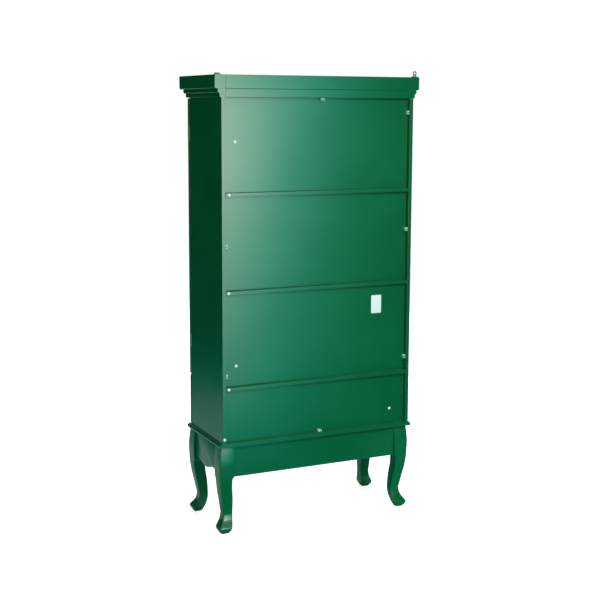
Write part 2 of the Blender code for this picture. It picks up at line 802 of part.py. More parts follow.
def make_door(side, sign):
    """A glazed frame door with its bars, pane, knob and hinges."""
    pivot = empty(f"door_{side}_pivot", sign * HINGE_AXIS_X, HINGE_AXIS_DEPTH, DOOR_BOTTOM)
    meeting = DOOR_REVEAL / 2
    low, high = DOOR_BOTTOM, DOOR_TOP
    sight_x = sorted((sign * (HALF_WIDTH - STILE), sign * (meeting + STILE)))
    sight_z = (low + BOTTOM_RAIL, high - TOP_RAIL)
    lip_back = DOOR_FRONT - SIGHT_LIP

    rebate = box_cutter(
        f"door_{side}_rebate",
        (sight_x[0] - GLASS_REBATE, sight_x[1] + GLASS_REBATE),
        (DOOR_BACK - SIGHT_LIP, lip_back),
        (sight_z[0] - GLASS_REBATE, sight_z[1] + GLASS_REBATE),
        pivot,
    )
    chamfer = sight_chamfer(f"door_{side}_chamfer", sight_x, sight_z, pivot)

    stiles = {
        "hinge_stile": (HALF_WIDTH - STILE, HALF_WIDTH, FRONT_EDGE_RADIUS),
        "meeting_stile": (meeting, meeting + STILE, EASE),
    }
    frame = []
    for label, (inner, outer, radius) in stiles.items():
        outer_edge = radius if label == "hinge_stile" else 0
        inner_edge = radius if label == "meeting_stile" else 0
        corners = [
            (inner, DOOR_BACK, inner_edge),
            (outer, DOOR_BACK, outer_edge),
            (outer, DOOR_FRONT, outer_edge),
            (inner, DOOR_FRONT, inner_edge),
        ]
        middle = (inner + outer) / 2
        points = [(sign * (point.x - middle), point.y - DOOR_BACK) for point in rounded(corners)]
        name = f"door_{side}_{label}"
        mesh = outline_mesh(name, points, high - low, PLAN)
        centre = (sign * middle, DOOR_BACK, (low + high) / 2)
        frame.append(add_piece(name, mesh, centre, PAINT, pivot))

    across = (sight_x[0] + FIT, sight_x[1] - FIT)
    thick = (DOOR_BACK, DOOR_FRONT)
    rails = {"bottom_rail": (low, sight_z[0]), "top_rail": (sight_z[1], high)}
    for label, heights in rails.items():
        frame.append(board(f"door_{side}_{label}", across, thick, heights, PAINT, pivot, ease=0))
    for member in frame:
        combine(member, rebate, "DIFFERENCE")
        combine(member, chamfer, "DIFFERENCE")

    margin = GLASS_REBATE - FIT
    board(
        f"door_{side}_glass",
        (sight_x[0] - margin, sight_x[1] + margin),
        (lip_back - FIT - GLASS, lip_back - FIT),
        (sight_z[0] - margin, sight_z[1] + margin),
        GLASS_FINISH,
        pivot,
        ease=0,
    )
    make_glazing_bars(side, sight_x, sight_z, pivot)
    knob_x = sign * (meeting + STILE / 2)
    add_knob(f"door_{side}_knob", knob_x, DOOR_FRONT, low + DOOR_KNOB_RAISE, pivot)
    for label, z in (("lower", low + HINGE_END), ("upper", high - HINGE_END)):
        make_hinge(f"hinge_{side}_{label}", sign, z, pivot)


def sight_chamfer(name, sight_x, sight_z, pivot):
    """A tapered block that slopes the front inner edges of a door frame."""
    width, height = sight_x[1] - sight_x[0], sight_z[1] - sight_z[0]
    shape = bmesh.new()
    bmesh.ops.create_cube(shape, size=1.0)
    for vert in shape.verts:
        front = vert.co.y < 0
        spread = 2 * SIGHT_CHAMFER if front else 0.0
        vert.co.x *= width + 2 * spread
        vert.co.z *= height + 2 * spread
        vert.co.y *= 2 * SIGHT_CHAMFER
    centre = (sum(sight_x) / 2, DOOR_FRONT, sum(sight_z) / 2)
    return add_piece(name, mesh_from(shape, name), centre, None, pivot)


def make_glazing_bars(side, sight_x, sight_z, pivot):
    """Bars on the front of the pane: one upright, and one across at each shelf."""
    left, right = sight_x[0] + FIT, sight_x[1] - FIT
    bottom, top = sight_z[0] + FIT, sight_z[1] - FIT
    middle_x, middle_z = sum(sight_x) / 2, sum(sight_z) / 2
    half = GLAZING_BAR / 2
    crossings = [
        (LOWER_SHELF_BOTTOM + LOWER_SHELF_TOP) / 2,
        (UPPER_SHELF_BOTTOM + UPPER_SHELF_TOP) / 2,
    ]
    right_side = [(middle_x + half, bottom)]
    left_side = [(middle_x - half, bottom)]
    for z in crossings:
        for points, near, far in (
            (right_side, middle_x + half, right),
            (left_side, middle_x - half, left),
        ):
            points += [(near, z - half), (far, z - half), (far, z + half), (near, z + half)]
    right_side.append((middle_x + half, top))
    left_side.append((middle_x - half, top))
    outline = [(x - middle_x, z - middle_z) for x, z in right_side + left_side[::-1]]
    back, front = DOOR_FRONT - SIGHT_LIP, DOOR_FRONT - BAR_SETBACK
    name = f"door_{side}_glazing_bars"
    mesh = outline_mesh(name, outline, front - back, FACING_FRONT)
    bars = add_piece(name, mesh, (middle_x, (back + front) / 2, middle_z), PAINT, pivot)
    ease_edges(bars)


def make_drawer():
    """A wide drawer that slides on battens, with the divider above to keep it level."""
    slide = empty("drawer_slide", 0.0, CARCASS_DEPTH, BASE_TOP)
    front_back = DOOR_BACK
    face = front_back + DRAWER_FRONT
    box_front = front_back - FIT
    box_back = BACK_FRONT + DRAWER_REAR_GAP
    bottom = BASE_TOP + RUNNER_HEIGHT + FIT
    top = DIVIDER_BOTTOM - DRAWER_KICK_GAP
    outside = INNER_HALF - DRAWER_SIDE_GAP
    inside = outside - DRAWER_SIDE
    floor = bottom + DRAWER_BOTTOM_RAISE
    floor_top = floor + DRAWER_BOTTOM

    board(
        "drawer_front",
        (-HALF_WIDTH, HALF_WIDTH),
        (front_back, face),
        (BASE_TOP + DRAWER_FRONT_REVEAL, DRAWER_FRONT_TOP),
        PAINT,
        slide,
        ease=FRONT_EDGE_RADIUS,
    )
    groove_reach = inside + DRAWER_GROOVE
    groove = box_cutter(
        "drawer_groove",
        (-groove_reach, groove_reach),
        (box_back - DRAWER_SIDE, box_front + DRAWER_SIDE),
        (floor - FIT, floor_top + FIT),
        slide,
    )
    for side, sign in SIDES.items():
        across = sorted((sign * inside, sign * outside))
        piece = board(
            f"drawer_side_{side}", across, (box_back, box_front), (bottom, top), PAINT, slide, ease=0
        )
        combine(piece, groove, "DIFFERENCE")
    panel = groove_reach - FIT
    board(
        "drawer_bottom",
        (-panel, panel),
        (box_back, box_front),
        (floor, floor_top),
        PAINT,
        slide,
        ease=0,
    )
    board(
        "drawer_back",
        (-inside + FIT, inside - FIT),
        (box_back, box_back + DRAWER_SIDE),
        (floor_top + FIT, top - DRAWER_BACK_DROP),
        PAINT,
        slide,
    )
    knob_z = (BASE_TOP + DRAWER_FRONT_REVEAL + DRAWER_FRONT_TOP) / 2
    for side, sign in SIDES.items():
        add_knob(f"drawer_knob_{side}", sign * DRAWER_KNOB_SPACING / 2, face, knob_z, slide)
    for side, sign in SIDES.items():
        across = sorted((sign * (INNER_HALF - RUNNER_WIDTH), sign * (INNER_HALF - FIT)))
        board(
            f"drawer_runner_{side}",
            across,
            (BACK_FRONT + FIT, CARCASS_DEPTH - RUNNER_SETBACK),
            (BASE_TOP + FIT, BASE_TOP + RUNNER_HEIGHT),
        )


def make_eye(side, sign, folded):
    """A plate on the crown with two ears, and the ring that turns on a pin between them."""
    x = sign * EYE_X
    plate_low = CROWN_TOP + FIT
    pivot_z = plate_low + EYE_PIVOT_HEIGHT
    axis = (x, EYE_DEPTH, pivot_z)
    plate = board(
        f"eye_plate_{side}",
        (x - EYE_PLATE_WIDTH / 2, x + EYE_PLATE_WIDTH / 2),
        (EYE_DEPTH - EYE_PLATE_DEPTH / 2, EYE_DEPTH + EYE_PLATE_DEPTH / 2),
        (plate_low, plate_low + EYE_PLATE_THICKNESS),
        STEEL,
        ease=0,
    )
    for label, way in SIDES.items():
        middle = x + way * EYE_EAR_SPACING / 2
        ear = box_cutter(
            f"eye_ear_{side}_{label}",
            (middle - EYE_EAR_THICKNESS / 2, middle + EYE_EAR_THICKNESS / 2),
            (EYE_DEPTH - EYE_EAR, EYE_DEPTH + EYE_EAR),
            (plate_low + EYE_PLATE_THICKNESS / 2, pivot_z + EYE_EAR),
        )
        combine(plate, ear, "UNION")
    half_pin = EYE_PIN_LENGTH / 2
    hole = rod_cutter(
        f"eye_hole_{side}",
        EYE_PIN_RADIUS + EYE_PIN_CLEARANCE,
        (-half_pin - FIT, 0, 0),
        (half_pin + FIT, 0, 0),
        HINGE_SIDES,
        axis,
    )
    combine(plate, hole, "DIFFERENCE")

    turning = empty(f"eye_{side}_pivot", *axis)
    way = Vector((0, -1, 0)) if folded else Vector((0, 0, 1))
    shape = bmesh.new()
    rod(shape, EYE_PIN_RADIUS, (-half_pin, 0, 0), (half_pin, 0, 0), HINGE_SIDES)
    ring = add_piece(f"eye_ring_{side}", mesh_from(shape, f"eye_ring_{side}"), axis, STEEL, turning)
    neck_end = way * (EYE_RING_CENTRE - EYE_RING_RADIUS)
    neck = rod_cutter(
        f"eye_neck_{side}", EYE_NECK_RADIUS, (0, 0, 0), neck_end, HINGE_SIDES, axis, turning
    )
    bpy.ops.mesh.primitive_torus_add(
        major_radius=EYE_RING_RADIUS,
        minor_radius=EYE_WIRE_RADIUS,
        major_segments=EYE_SIDES,
        minor_segments=EYE_WIRE_SIDES,
    )
    drawn = bpy.context.active_object
    loop_mesh = drawn.data
    bpy.data.objects.remove(drawn, do_unlink=True)
    for vert in loop_mesh.vertices:
        flat = vert.co.copy()
        upright = Vector((flat.x, -flat.z, flat.y))
        vert.co = (flat if folded else upright) + way * EYE_RING_CENTRE
    loop = add_piece(f"eye_loop_{side}", loop_mesh, axis, None, turning)
    combine(ring, neck, "UNION")
    combine(ring, loop, "UNION")


make_carcass()
make_crown()
make_base()
for door_side, door_sign in SIDES.items():
    make_door(door_side, door_sign)
make_drawer()
make_eye("left", SIDES["left"], folded=False)
make_eye("right", SIDES["right"], folded=True)
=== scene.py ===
"""Looks of a tall painted display cabinet on cabriole legs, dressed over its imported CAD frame.

Metres, +Z up, front towards -Y. Left and right are as seen from the front, so left is -X.
"""

import json
import math

import bmesh
import bpy
from mathutils import Matrix, Vector


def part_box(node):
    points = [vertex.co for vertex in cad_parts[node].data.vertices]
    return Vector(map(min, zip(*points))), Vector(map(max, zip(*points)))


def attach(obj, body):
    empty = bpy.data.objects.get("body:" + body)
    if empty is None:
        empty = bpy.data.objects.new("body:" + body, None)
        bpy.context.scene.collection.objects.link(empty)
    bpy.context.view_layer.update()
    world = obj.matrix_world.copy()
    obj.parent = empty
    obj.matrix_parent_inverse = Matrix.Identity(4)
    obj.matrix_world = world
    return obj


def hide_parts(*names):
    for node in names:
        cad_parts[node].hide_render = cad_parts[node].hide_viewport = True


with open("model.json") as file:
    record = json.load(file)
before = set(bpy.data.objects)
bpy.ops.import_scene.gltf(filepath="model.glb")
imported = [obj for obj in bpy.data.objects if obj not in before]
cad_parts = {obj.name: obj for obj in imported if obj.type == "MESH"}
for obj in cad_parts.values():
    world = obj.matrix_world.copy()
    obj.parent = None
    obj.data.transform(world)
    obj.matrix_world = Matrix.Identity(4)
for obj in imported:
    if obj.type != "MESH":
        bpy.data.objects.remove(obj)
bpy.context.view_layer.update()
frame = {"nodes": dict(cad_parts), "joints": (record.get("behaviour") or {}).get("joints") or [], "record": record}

bl_info = {
    "name": "Cabriole display cabinet",
    "version": (1, 0, 0),
    "blender": (4, 5, 0),
    "location": "View3D > Sidebar > Cabinet",
    "description": "Dresses the display cabinet's frame with its finishes, mouldings and fittings",
    "category": "Object",
}

LACQUER = "satin_lacquer_on_board"

# Where the frame's pieces stand
SIDES = {"left": -1, "right": 1}
BODIES = frame["record"]["behaviour"]["bodies"]
BODY_OF = {node: body for body, nodes in BODIES.items() for node in nodes}
SLOT_OF = {part["node"]: part["material_slot"] for part in frame["record"]["subparts"]}
PIVOTS = {joint["name"]: Vector(joint["pos_m"]) for joint in frame["joints"] if "pos_m" in joint}
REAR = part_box("side_panel_right")[1].y
INNER_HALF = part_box("side_panel_right")[0].x
HALF_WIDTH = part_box("side_panel_right")[1].x
PANEL_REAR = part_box("back_panel_upper")[1].y
BASE_UNDER, BASE_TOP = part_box("base_plate")[0].z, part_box("base_plate")[1].z
CROWN_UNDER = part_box("crown_front")[0].z
APRON_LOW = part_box("apron_rear")[0].z
FIT = 0.0003
FLAT_AREA = 0.004
SMOOTH_ANGLE = 35

# The S of a cabriole leg: share of its height, and the inset from the line it stands on
LEG_LINE_X = 0.450
LEG_LINE_FRONT = -0.17815
LEG_LINE_REAR = 0.18395
LEG_OUTER = (
    (0.0, 0.0045),
    (0.026, -0.0025),
    (0.057, -0.0075),
    (0.086, -0.0022),
    (0.117, 0.0063),
    (0.149, 0.0127),
    (0.214, 0.0186),
    (0.282, 0.0148),
    (0.378, 0.0083),
    (0.469, 0.0014),
    (0.587, -0.0046),
    (0.705, -0.0072),
    (0.807, -0.0080),
    (0.914, -0.0052),
    (1.0, -0.0016),
)
LEG_INNER = (
    (0.0, 0.0365),
    (0.039, 0.0445),
    (0.117, 0.0544),
    (0.202, 0.0590),
    (0.378, 0.0565),
    (0.510, 0.0508),
    (0.610, 0.0496),
)
LEG_BLOCK = 0.058
LEG_EAR = 0.021
LEG_EDGE = 0.0045
LEG_CRISP_EDGE = 0.0016

# Crown tiers from the bottom up: overhang, lower and upper level, and rounded lower edge.
# The upper tier is a moulding of its own, so a joint runs under it
CROWN_LOWER = ((0.0068, 0.0, 0.0175, 0.005), (0.0150, 0.0175, 0.0349, 0.007))
CROWN_UPPER = ((0.028, 0.0352, 0.0914, 0.0075),)
CROWN_OVERHANG = CROWN_UPPER[0][0]
CROWN_INNER = 0.0192
CROWN_ARRIS = 0.0008

# Fittings on the rear, as x and height: round caps over screws, and clips that hold the panels
PANEL_CAPS = ((0.3824, 1.6639), (0.3813, 0.7285), (-0.3623, 0.4682))
EDGE_CAPS = ((0.4159, 1.4485), (0.4208, 1.0410), (0.4217, 0.6335), (0.4420, 0.4205))
SIDE_CLIPS = ((-1, 1.7837), (-1, 1.2747), (-1, 0.7023), (1, 1.2351), (1, 0.6887))
TOP_CLIP_X, BOTTOM_CLIP_X = -0.0116, -0.0082
CAP_HEIGHT = 0.0016
LABEL_PLACE = (-0.288, 0.947)
LABEL_CORNER = 0.003
LABEL_LAYERS = ((0.0, 0.00004), (0.0, 0.00022), (0.0002, 0.0003))

# Small fittings in section: shares of their half width and of their height, from the seat up
CAP_DOME = ((1.0, 0.25), (0.96, 0.5), (0.86, 0.72), (0.68, 0.88), (0.42, 0.97), (0.15, 1.0))
CLIP_BLOCK = ((1.0, 0.7), (0.98, 0.82), (0.93, 0.91), (0.85, 0.97), (0.74, 1.0))
SCREW_HEAD = ((1.0, 0.35), (0.93, 0.62), (0.76, 0.86), (0.5, 1.0))

# Screws: width, depth and height of their heads, and where the heads sit
CLIP_SCREW, CLIP_SCREW_SUNK = (0.0066, 0.0066, 0.0022), 0.0007
HINGE_SCREW, HINGE_SCREW_SHARES = (0.0042, 0.0042, 0.00012), (0.14, 0.5, 0.86)
HINGE_SCREW_IN, HINGE_SCREW_OFF_PIN = 0.0016, 0.0002
EYE_SCREW, EYE_SCREW_IN, EYE_PLATE_THICK = (0.0052, 0.0052, 0.0013), 0.0034, 0.0015

# Base plate's plan corner and nose, and the sanding of the back panels' edges
BASE_CORNER, BASE_NOSE_LOW, BASE_NOSE_HIGH = 0.014, 0.004, 0.012
BROKEN_EDGE = 0.0004

# An apron's drop, the ogee to each side of it, and how far forward it lies: metres on the front
# apron, shares of the length on a side one
FRONT_SCALLOP = (0.300, 0.046, 0.0)
SIDE_SCALLOP = (0.086, 0.328, 0.027)

# A knob: foot and neck as shares of its radius and distances from the board, then its ball, as
# a share of the length, from where it is as wide as a share of the radius
KNOB_FOOT = (
    (0.0, 0.0),
    (0.74, 0.0),
    (0.76, 0.0005),
    (0.76, 0.0012),
    (0.72, 0.0019),
    (0.60, 0.0024),
    (0.49, 0.0031),
    (0.44, 0.0042),
    (0.44, 0.0052),
)
KNOB_BALL_SHARE, KNOB_NECK_SHARE = 0.355, 0.48

# An anti-tip eye: radii of its ring, wire and pin, how far the ring's middle lies from the pin,
# and the neck between them as radius and distance
EYE_RING, EYE_WIRE, EYE_PIN, EYE_REACH = 0.0072, 0.0023, 0.0013, 0.0125
EYE_PIN_EASE = 0.0003
EYE_NECK = ((0.0, -0.0018), (0.0016, -0.0014), (0.0021, -0.0002), (0.0020, 0.003), (0.0022, 0.0052))
EYE_NECK += ((0.0, 0.0054),)


def linear(code):
    """Linear colour from an sRGB hex code."""
    values = []
    for start in (1, 3, 5):
        value = int(code[start : start + 2], 16) / 255
        values.append(value / 12.92 if value <= 0.04045 else ((value + 0.055) / 1.055) ** 2.4)
    return (*values, 1.0)


def per_mm(size):
    """Scale of a noise pattern whose features are about this many millimetres across."""
    return 1000.0 / size


def add(tree, kind, inputs=None, ramp=None, **settings):
    """Add a node with its settings; an input takes a value or another node's output."""
    node = tree.nodes.new(kind)
    for name, value in settings.items():
        setattr(node, name, value)
    for key, value in (inputs or {}).items():
        if isinstance(value, bpy.types.NodeSocket):
            tree.links.new(value, node.inputs[key])
        else:
            node.inputs[key].default_value = value
    if ramp:
        elements = node.color_ramp.elements
        elements[0].position, elements[1].position = ramp[0][0], ramp[-1][0]
        for stop, colour in ramp[1:-1]:
            elements.new(stop)
        for element, (stop, colour) in zip(elements, ramp):
            element.color = colour
    return node


def new_material(name):
    """An empty node material, its tree, and the coordinates that its pattern reads."""
    material = bpy.data.materials.new(name)
    material.use_nodes = True
    tree = material.node_tree
    tree.nodes.clear()
    return material, tree, add(tree, "ShaderNodeTexCoord").outputs


def finished(material, tree, shader):
    """Connect a material's shader to its output."""
    add(tree, "ShaderNodeOutputMaterial", {"Surface": shader.outputs[0]})
    return material


def tones(colour, *stops):
    """Stops of a colour ramp: each a place on it, and a share of one colour."""
    return [(stop, (*(Vector(colour) * share), 1.0)) for stop, share in stops]


def clouded(name, colour, noise, stops, haze, surface):
    """A finish whose tone and roughness follow one noise, given by its size in mm and detail.

    Haze is a range of the noise and the roughness at its two ends.
    """
    material, tree, where = new_material(name)
    size, detail = noise
    pattern = {"Vector": where["Object"], "Scale": per_mm(size), "Detail": detail}
    cloud = add(tree, "ShaderNodeTexNoise", pattern).outputs["Fac"]
    tone = add(tree, "ShaderNodeValToRGB", {"Fac": cloud}, ramp=tones(colour, *stops))
    ends = dict(zip(("From Min", "From Max", "To Min", "To Max"), haze))
    dull = add(tree, "ShaderNodeMapRange", {"Value": cloud, **ends})
    surface = {"Base Color": tone.outputs["Color"], "Roughness": dull.outputs["Result"], **surface}
    return finished(material, tree, add(tree, "ShaderNodeBsdfPrincipled", surface))


def satin_lacquer(colours):
    """Pigmented lacquer sprayed on board: an even deep green with a soft, slightly wavy gloss.

    Coats drift a little in shade over a hand's width, and orange peel breaks the gloss. The
    peel is about 2 mm on the real surface and is drawn at 6 mm, so that it shows at all. Level
    tops are duller, where the spray falls dry and dust settles.
    """
    material, tree, where = new_material(LACQUER)
    noises = []
    for size, detail in ((240, 2.0), (330, 0.0), (6, 1.0)):
        pattern = {"Vector": where["Object"], "Scale": per_mm(size), "Detail": detail}
        noises.append(add(tree, "ShaderNodeTexNoise", pattern).outputs["Fac"])
    coat, board, peel = noises
    ramp = tones(colours.lacquer, (0.3, 0.94), (0.7, 1.06))
    shade = add(tree, "ShaderNodeValToRGB", {"Fac": coat}, ramp=ramp)
    gloss = add(tree, "ShaderNodeMapRange", {"Value": coat, "To Min": 0.19, "To Max": 0.23})
    faces = add(tree, "ShaderNodeNewGeometry").outputs["Normal"]
    upward = add(tree, "ShaderNodeSeparateXYZ", {"Vector": faces}).outputs["Z"]
    level_tops = {"Value": upward, "From Min": 0.8, "To Min": 0.0, "To Max": 0.45}
    dust = add(tree, "ShaderNodeMapRange", level_tops)
    layers = {0: gloss.outputs["Result"], 1: dust.outputs["Result"]}
    dull = add(tree, "ShaderNodeMath", layers, operation="ADD")
    wavy = add(tree, "ShaderNodeBump", {"Height": board, "Strength": 1.0, "Distance": 0.0008})
    pebbles = {"Height": peel, "Strength": 0.5, "Distance": 0.00006, "Normal": wavy.outputs["Normal"]}
    pebbled = add(tree, "ShaderNodeBump", pebbles)
    surface = {"Base Color": shade.outputs["Color"], "Roughness": dull.outputs[0]}
    surface["Normal"] = pebbled.outputs["Normal"]
    return finished(material, tree, add(tree, "ShaderNodeBsdfPrincipled", surface))


def float_glass(colours):
    """Float glass: clear, faintly green, with a wiped film that only blurs it slightly."""
    material, tree, where = new_material("float_glass")
    pattern = {"Vector": where["Object"], "Scale": per_mm(70), "Detail": 4.0}
    film = add(tree, "ShaderNodeTexNoise", pattern).outputs["Fac"]
    wiped = {"Value": film, "From Min": 0.4, "From Max": 0.8, "To Max": 0.035}
    haze = add(tree, "ShaderNodeMapRange", wiped)
    surface = {"Base Color": (*colours.glass, 1.0), "Roughness": haze.outputs["Result"]}
    surface.update({"IOR": 1.52, "Transmission Weight": 1.0})
    return finished(material, tree, add(tree, "ShaderNodeBsdfPrincipled", surface))


def aged_brass(colours):
    """Turned brass, aged and lacquered: warm metal with brown tarnish in soft clouds.

    Fine rings from the lathe are too close to show, so only a light haze stands for them.
    """
    stops, haze = ((0.35, 0.45), (0.62, 1.0)), (0.3, 0.7, 0.46, 0.26)
    return clouded("aged_brass", colours.brass, (9, 5.0), stops, haze, {"Metallic": 1.0})


def blackened_steel(colours):
    """Bent steel with a dark plating: grey, half dull, with specks where the plating is thin."""
    stops, haze = ((0.45, 1.0), (0.75, 2.2)), (0.0, 1.0, 0.3, 0.55)
    return clouded("blackened_steel", colours.steel, (3, 4.0), stops, haze, {"Metallic": 1.0})


def zinc_plate(colours):
    """Zinc-plated screw steel: pale bluish metal, mottled by its passivation."""
    stops, haze = ((0.3, 0.75), (0.7, 1.0)), (0.0, 1.0, 0.28, 0.42)
    return clouded("zinc_plated_steel", colours.zinc, (2, 3.0), stops, haze, {"Metallic": 1.0})


def moulded_plastic(name, colour, see_through):
    """Moulded polyethylene: milky and dull, with the faint grain of its mould."""
    stops, haze = ((0.3, 0.94), (0.7, 1.0)), (0.0, 1.0, 0.35, 0.5)
    surface = {"Specular IOR Level": 0.35, "Transmission Weight": see_through}
    return clouded(name, colour, (5, 2.0), stops, haze, surface)


def label_paper(colours):
    """Blank label stock: matt white paper with faint fibres."""
    material, tree, where = new_material("label_paper")
    pattern = {"Vector": where["Object"], "Scale": per_mm(1.5), "Detail": 6.0}
    fibre = add(tree, "ShaderNodeTexNoise", pattern).outputs["Fac"]
    ramp = tones(colours.paper, (0.3, 0.95), (0.7, 1.0))
    tone = add(tree, "ShaderNodeValToRGB", {"Fac": fibre}, ramp=ramp)
    bump = add(tree, "ShaderNodeBump", {"Height": fibre, "Strength": 0.4, "Distance": 0.00005})
    surface = {"Base Color": tone.outputs["Color"], "Normal": bump.outputs["Normal"]}
    surface.update({"Roughness": 0.75, "Specular IOR Level": 0.2})
    return finished(material, tree, add(tree, "ShaderNodeBsdfPrincipled", surface))


FINISH_OF_SLOT = {
    "satin_green_paint": LACQUER,
    "clear_glass": "float_glass",
    "aged_brass": "aged_brass",
    "dark_steel": "blackened_steel",
}


def in_scene(name, data):
    """A new object with its data, linked into the scene."""
    thing = bpy.data.objects.new(name, data)
    bpy.context.scene.collection.objects.link(thing)
    return thing


def mesh_of(shape, name, sharp=SMOOTH_ANGLE):
    """A mesh from a bmesh: faces outwards, large ones flat, small ones smooth up to the angle."""
    bmesh.ops.recalc_face_normals(shape, faces=shape.faces)
    if shape.calc_volume(signed=True) < 0:
        bmesh.ops.reverse_faces(shape, faces=shape.faces)
    for face in shape.faces:
        face.smooth = face.calc_area() < FLAT_AREA
    mesh = bpy.data.meshes.new(name)
    shape.to_mesh(mesh)
    shape.free()
    mesh.set_sharp_from_angle(angle=math.radians(sharp))
    return mesh


def place(name, mesh, body, finish, stands_for=None):
    """A piece of the object: given its finish, set on its body, and standing for CAD nodes."""
    piece = in_scene(name, mesh)
    mesh.materials.clear()
    mesh.materials.append(bpy.data.materials[finish])
    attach(piece, body)
    if stands_for:
        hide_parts(stands_for)
    return piece


def rounded(corners, steps):
    """Outline points for corners given as (u, v, radius), each turned on an arc."""
    points = []
    for index, (u, v, radius) in enumerate(corners):
        corner = Vector((u, v))
        if radius == 0:
            points.append(corner)
            continue
        before = (Vector(corners[index - 1][:2]) - corner).normalized()
        after = (Vector(corners[(index + 1) % len(corners)][:2]) - corner).normalized()
        half = before.angle(after) / 2
        start = corner + before * radius / math.tan(half)
        centre = corner + (before + after).normalized() * radius / math.sin(half)
        spoke = start - centre
        sweep = -spoke.angle_signed(corner + after * radius / math.tan(half) - centre)
        points += [centre + Matrix.Rotation(sweep * step / steps, 2) @ spoke for step in range(steps + 1)]
    return points


def skin(shape, rings, closed=False):
    """Join rings of points into a tube, capped at its ends unless it closes on itself."""
    loops = [[shape.verts.new(point) for point in ring] for ring in rings]
    count = len(loops[0])
    pairs = list(zip(loops, loops[1:]))
    if closed:
        pairs.append((loops[-1], loops[0]))
    else:
        shape.faces.new(loops[0])
        shape.faces.new(loops[-1])
    for here, there in pairs:
        for index in range(count):
            after = (index + 1) % count
            shape.faces.new((here[index], here[after], there[after], there[index]))


def softened(board, width, name, angle=40):
    """A copy of a board's mesh with the edges past an angle rounded over, as sanding leaves them."""
    shape = bmesh.new()
    shape.from_mesh(board)
    bmesh.ops.remove_doubles(shape, verts=shape.verts, dist=FIT / 30)
    flat = math.radians(0.5)
    bmesh.ops.dissolve_limit(shape, angle_limit=flat, verts=shape.verts, edges=shape.edges)
    sharp = [
        edge
        for edge in shape.edges
        if len(edge.link_faces) == 2 and edge.calc_face_angle() > math.radians(angle)
    ]
    bmesh.ops.bevel(
        shape, geom=sharp, offset=width, segments=2, affect="EDGES", profile=0.5, clamp_overlap=True
    )
    return mesh_of(shape, name)


def smooth_through(stations, share):
    """Value at a share of the way along a smooth curve through (share, value) stations."""
    last = len(stations) - 1

    def slope(index):
        low, high = stations[max(index - 1, 0)], stations[min(index + 1, last)]
        return (high[1] - low[1]) / (high[0] - low[0])

    if share >= stations[last][0]:
        return stations[last][1]
    span = next(index for index in range(last) if share <= stations[index + 1][0])
    (start, low), (end, high) = stations[span], stations[span + 1]
    t = (share - start) / (end - start)
    return (
        (2 * t**3 - 3 * t**2 + 1) * low
        + (t**3 - 2 * t**2 + t) * (end - start) * slope(span)
        + (3 * t**2 - 2 * t**3) * high
        + (t**3 - t**2) * (end - start) * slope(span + 1)
    )


def leg_mesh(name, sign, from_front, sections, edge_steps):
    """A cabriole leg drawn through rounded square sections, the same S to both sides."""
    rings = []
    for step in range(sections + 1):
        height = (BASE_UNDER - FIT) * step / sections
        share = height / BASE_UNDER
        outer, inner = smooth_through(LEG_OUTER, share), smooth_through(LEG_INNER, share)
        above_ear = (height - APRON_LOW + LEG_EAR) / LEG_EAR
        if above_ear > 0:
            inner += (LEG_BLOCK - inner) * (1 - math.sqrt(1 - min(above_ear, 1.0) ** 2))
        corners = [(outer, outer, LEG_EDGE), (inner, outer, LEG_CRISP_EDGE)]
        corners += [(inner, inner, LEG_EDGE), (outer, inner, LEG_CRISP_EDGE)]
        ring = []
        for inset_x, inset_y in rounded(corners, edge_steps):
            y = LEG_LINE_FRONT + inset_y if from_front else LEG_LINE_REAR - inset_y
            ring.append((sign * (LEG_LINE_X - inset_x), y, height))
        rings.append(ring)
    shape = bmesh.new()
    skin(shape, rings)
    return mesh_of(shape, name)


def crown_profile(tiers, steps):
    """Crown tiers in section: (overhang, height above the crown's underside), inner side last."""
    corners = [(-CROWN_INNER, tiers[0][1], 0)]
    for overhang, low, high, radius in tiers:
        corners += [(overhang, low, radius), (overhang, high, CROWN_ARRIS)]
    corners.append((-CROWN_INNER, tiers[-1][2], 0))
    return rounded(corners, steps)


def turned(shape, profile, centre, axis, across, sides):
    """Turn a closed profile of (radius, distance along the axis) about an axis."""
    axis, across = Vector(axis), Vector(across)
    third = axis.cross(across)
    rings = []
    for step in range(sides):
        turn = 2 * math.pi * step / sides
        spoke = across * math.cos(turn) + third * math.sin(turn)
        rings.append([centre + axis * along + spoke * radius for radius, along in profile])
    first = len(shape.verts)
    skin(shape, rings, closed=True)
    shape.verts.ensure_lookup_table()
    bmesh.ops.remove_doubles(shape, verts=shape.verts[first:], dist=1e-6)


def open_tree(name, sizes):
    """Begin geometry nodes that set copies of a shape on seats; give its inputs by their names."""
    tree = bpy.data.node_groups.new(name, "GeometryNodeTree")
    tree.is_modifier = True
    tree.interface.new_socket("Seats", in_out="INPUT", socket_type="NodeSocketGeometry")
    for label, size in sizes.items():
        socket = tree.interface.new_socket(label, in_out="INPUT", socket_type="NodeSocketFloat")
        socket.subtype = "DISTANCE"
        socket.default_value = size
    tree.interface.new_socket("Finish", in_out="INPUT", socket_type="NodeSocketMaterial")
    tree.interface.new_socket("Pieces", in_out="OUTPUT", socket_type="NodeSocketGeometry")
    return tree, add(tree, "NodeGroupInput").outputs


